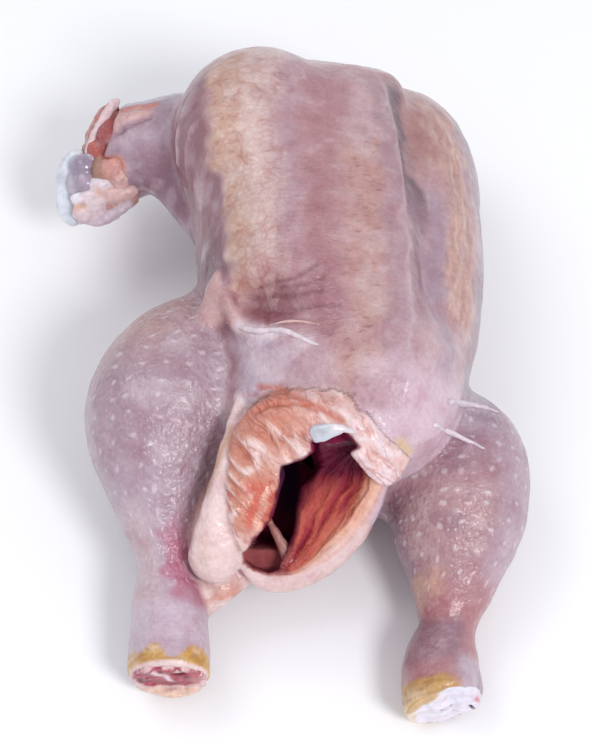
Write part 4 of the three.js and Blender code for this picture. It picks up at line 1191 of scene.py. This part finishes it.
right_core = limb([(-59.9, -122, 19.4, 12.6), (-59.5, -135.5, 16, 13.2), (-59.4, -141, 14.6, 13.2)])
right_face = cut(end_face(RIGHT_END, RIGHT_END_FACING, right_core, 5, 1.4),
                 ellipsoid((-56.6, -136.2, 24.6), (3.6, 2.6, 2.6)), 1.0)
right_lip = limb([(-67, -136, 9, 1.4), (-62, -136.6, 7, 2.2), (-57, -136.6, 6.6, 2.3),
                  (-51, -136.2, 8.2, 1.5)])
RIGHT_LUMPS = [(right_face, "#d9b3b6"), (right_lip, "#e0bda8")]
vertices, quads, distances = lump_mesh(RIGHT_LUMPS, 1.0, 0.6, 0.45, 50)
across, up = vertices[:, 0] - RIGHT_END[0], vertices[:, 2] - RIGHT_END[2]
fibres = cloud(flat(across + 0.3 * up, up - 0.2 * across), (4.5, 0.9, 9), 52)
fibres = fibres + 0.5 * cloud(vertices, 1.2, 53)
tint = lump_tint(RIGHT_LUMPS, distances, 0.8)
lay = painter(tint)
in_meat = 1 - eased(np.hypot((across + 0.3) / 13.2, (up - 3.4) / 10) + 0.06 * fibres, 0.86, 1.0)
in_meat = in_meat * (distances[:, 0] < distances[:, 1] + 1)
lay("#981638", in_meat)
lay("#5c0c26", in_meat * eased(fibres, 0.2, 0.8))
lay("#c85c76", in_meat * eased(-fibres, 0.5, 1.0) * 0.6)
lay("#b7666c", in_meat * eased(across, 6, 9) * 0.8)
lay("#e6ccd4", stroke(across, up, [(-4.8, 9.5), (-2.5, 7), (-0.5, 4), (0.5, 1)], 1.1))
lay("#4f0a22", 1 - eased(np.hypot((across - 2.9) / 3.6, (up - 8.4) / 2.9), 0.7, 1.15))
tissue_piece("right_leg_cut_meat", vertices, quads, tint, wet_meat)

left_across = np.array([1, 0.25, 0]) / math.hypot(1, 0.25)
left_core = limb([(36, -133, 15.2, 12.9), (36.5, -145.5, 15.2, 13.4), (37.5, -151, 15.4, 13.4)])
left_face = end_face(LEFT_END, LEFT_END_FACING, left_core, 5, 0.2)
for aside, radii, blend in ((7.5, (6.4, 3.0, 9), 2), (-2.5, (5.4, 2.4, 8), 1.5)):
    knob = ellipsoid(LEFT_END + aside * left_across, radii)
    knob = trim(knob, lambda points: left_core(points) + 0.4, 1.5)
    left_face = join(left_face, knob, blend)
LEFT_SLITS = [[(-1.4, 2.3), (1.8, 2.5)], [(8.6, 1.8), (10.2, -2.4)]]


def left_slits(points):
    across, up = (points - LEFT_END) @ left_across, points[..., 2] - LEFT_END[2]
    near = np.max([stroke(across.ravel(), up.ravel(), path, 0.55) for path in LEFT_SLITS], 0)
    return (0.5 - near.reshape(across.shape)) * 2.0


slit_floor = plane(LEFT_END - 1.5 * LEFT_END_FACING, -LEFT_END_FACING)
left_cut = cut(left_face, trim(left_slits, slit_floor, 0.3), 0.3)
vertices, quads, distances = lump_mesh([(left_cut, "#dcd5e2")], 1.0, 0.55, 0.15, 60)
across, up = (vertices - LEFT_END) @ left_across, vertices[:, 2] - LEFT_END[2]
tint = lump_tint([(left_cut, "#dcd5e2")], distances)
lay = painter(tint)
soft_noise = cloud(vertices, 3, 61)
lay("#e6d3d8", eased(soft_noise, 0.1, 0.9) * 0.4)
lay("#c29a62", eased(up - 1.15 * (across + 10.4) + soft_noise, 0.5, 2.5))
lay("#d9c2ab", eased(-across - 8.5 + soft_noise, 0, 2.5) * (1 - eased(up, -1, 1)))
lay("#b86f7c", stroke(across, up, [(0.5, -3.6), (4.5, -3.2)], 0.8) * 0.6)
lay("#c0404a", stroke(across, up, [(10.6, 5.4), (12, 2.6)], 0.8) * 0.8)
# the slits painted near black: painted shade in them
lay("#48202c", sum(stroke(across, up, path, 0.6) for path in LEFT_SLITS))
tissue_piece("left_leg_joint_gristle", vertices, quads, tint, wet_gristle)


# ==== Breastbone tip and the strand at the mouth of the cavity =====================================
# The gristle tip of the breastbone showing white at the top of the way in, its thin torn edge, and
# the strand of membrane stretched across the low pocket. Both are thin wet tissue left by drawing.

BREASTBONE_TIP = [(limb(in_mouth([(0.4, 22.7, 8, 3), (2.6, 23, 9.2, 2.9), (5.4, 23.8, 9.4, 2.1),
                                  (9, 24.4, 9, 1.1)]), (0, -0.53, 0.848), 0.4), "#bfc2ca"),
                  (limb(in_mouth([(6, 24.6, 9.4, 0.9), (10, 23.9, 8.6, 0.8), (14, 22.6, 7.2, 0.4)])),
                   "#ddd2d6")]
lump_piece("breastbone_tip", BREASTBONE_TIP, 0.5, 0.5, wet_gristle, 0.3)
STRAND = [(limb([(-25, -84.3, 38, 1.2), (-22.5, -88.5, 36, 1.5), (-19.5, -93, 33, 2.1),
                 (-17, -97.5, 30, 2.4)]), "#b07872")]
lump_piece("membrane_strand", STRAND, 0.5, 0.5, wet_fat, 0.15)


# ==== Taut folds of skin ===========================================================================
# Narrow whitish folds where thin skin is stretched tight: across the web between breast and thigh,
# and two on the left thigh where it comes out from under the breast. They lie on the skin.

WEB_FOLD = [(limb([(-40.3, -22.4, 71.2, 0.4), (-34.7, -27.8, 75.9, 1.0), (-29, -31.9, 79.8, 1.2),
                   (-23.8, -33.4, 82.5, 1.0), (-18.7, -34.9, 84.2, 1.0), (-13.7, -37.9, 85.1, 0.9),
                   (-9.3, -40.5, 85.4, 0.7), (-5.8, -42, 85.8, 0.3)], (0, -0.5, 0.85), 0.55), "#d6c7ce"),
            (limb([(-24.3, -31, 81.7, 0.4), (-19, -30.4, 83.2, 0.5), (-13.7, -31.2, 84.7, 0.6),
                   (-6.9, -33.4, 86, 0.3)]), "#cdaaa3")]
taut_skin = moist_tissue("taut_thin_skin", 2.5, 0.45, 1.0, 0.2)
lump_piece("web_fold", WEB_FOLD, 0.4, 0.5, taut_skin, 0.08)
THIGH_FOLDS = [(limb([(32.9, -64.9, 70.9, 0.9), (38.2, -61.1, 60, 1.1), (45.9, -61.4, 53.8, 0.8),
                      (52.2, -64.5, 52.8, 0.3)]), "#d6c8d0"),
               (limb([(38.6, -56, 71.3, 1.2), (46.6, -45.3, 52, 1.2), (53.4, -44.4, 48.3, 0.8),
                      (60.4, -44.8, 43.8, 0.3)]), "#cfbfc8")]
lump_piece("thigh_folds", THIGH_FOLDS, 0.4, 0.5, taut_skin, 0.08)


# ==== Studio =======================================================================================
# A plain pale table top, a white surround and soft lamps, with the camera above the tail's end,
# looking down on the breast. The top is matt laminate: even and dull, so it shows only soft shadows.

table_material, table_tree = new_material("matt_white_laminate")
table_shader = add_node(table_tree, "BsdfPrincipled", linear("#f4f4f6"), Roughness=0.7)
add_node(table_tree, "OutputMaterial", table_shader)
TABLE_HALF = 3.0         # metres
table_mesh = bpy.data.meshes.new("table_top")
corners = [(x * TABLE_HALF, y * TABLE_HALF, 0) for x, y in ((-1, -1), (1, -1), (1, 1), (-1, 1))]
table_mesh.from_pydata(corners, [], [(0, 1, 2, 3)])
table_mesh.materials.append(table_material)
table = bpy.data.objects.new("table_top", table_mesh)
bpy.context.scene.collection.objects.link(table)

scene = bpy.context.scene
scene.view_settings.view_transform = "Standard"
world = bpy.data.worlds.new("white_surround")
world.use_nodes = True
background = world.node_tree.nodes["Background"].inputs
background["Color"].default_value = linear("#f2f4fa")
background["Strength"].default_value = 0.75
scene.world = world


def aimed(name, data, place, aim):
    """A lamp or camera at a place, in metres, looking at its aim."""
    thing = bpy.data.objects.new(name, data)
    thing.location = place
    thing.rotation_euler = (Vector(aim) - Vector(place)).to_track_quat("-Z", "Y").to_euler()
    scene.collection.objects.link(thing)
    return thing


BREAST = (0, -0.02, 0.05)
for name, place_of_lamp, size, watts in (("key_lamp", (0.55, -0.75, 1.0), 0.4, 9),
                                         ("fill_lamp", (-0.6, 0.3, 1.1), 0.8, 3)):
    light = bpy.data.lights.new(name, "AREA")
    light.shape = "DISK"
    light.size = size
    light.energy = watts
    aimed(name, light, place_of_lamp, BREAST)

CAMERA_ELEVATION = math.radians(58.0)
CAMERA_DISTANCE = 700.0
CAMERA_TARGET = np.array([-15.0, -32.0, 50.0])
FOCAL_LENGTH, SENSOR_WIDTH = 92, 36
lens = bpy.data.cameras.new("camera")
lens.lens = FOCAL_LENGTH
lens.sensor_width = SENSOR_WIDTH
target = Vector((CAMERA_TARGET + TO_PART) / 1000)
back = Vector((0, -math.cos(CAMERA_ELEVATION), math.sin(CAMERA_ELEVATION))) * CAMERA_DISTANCE / 1000
scene.camera = aimed("camera", lens, target + back, target)
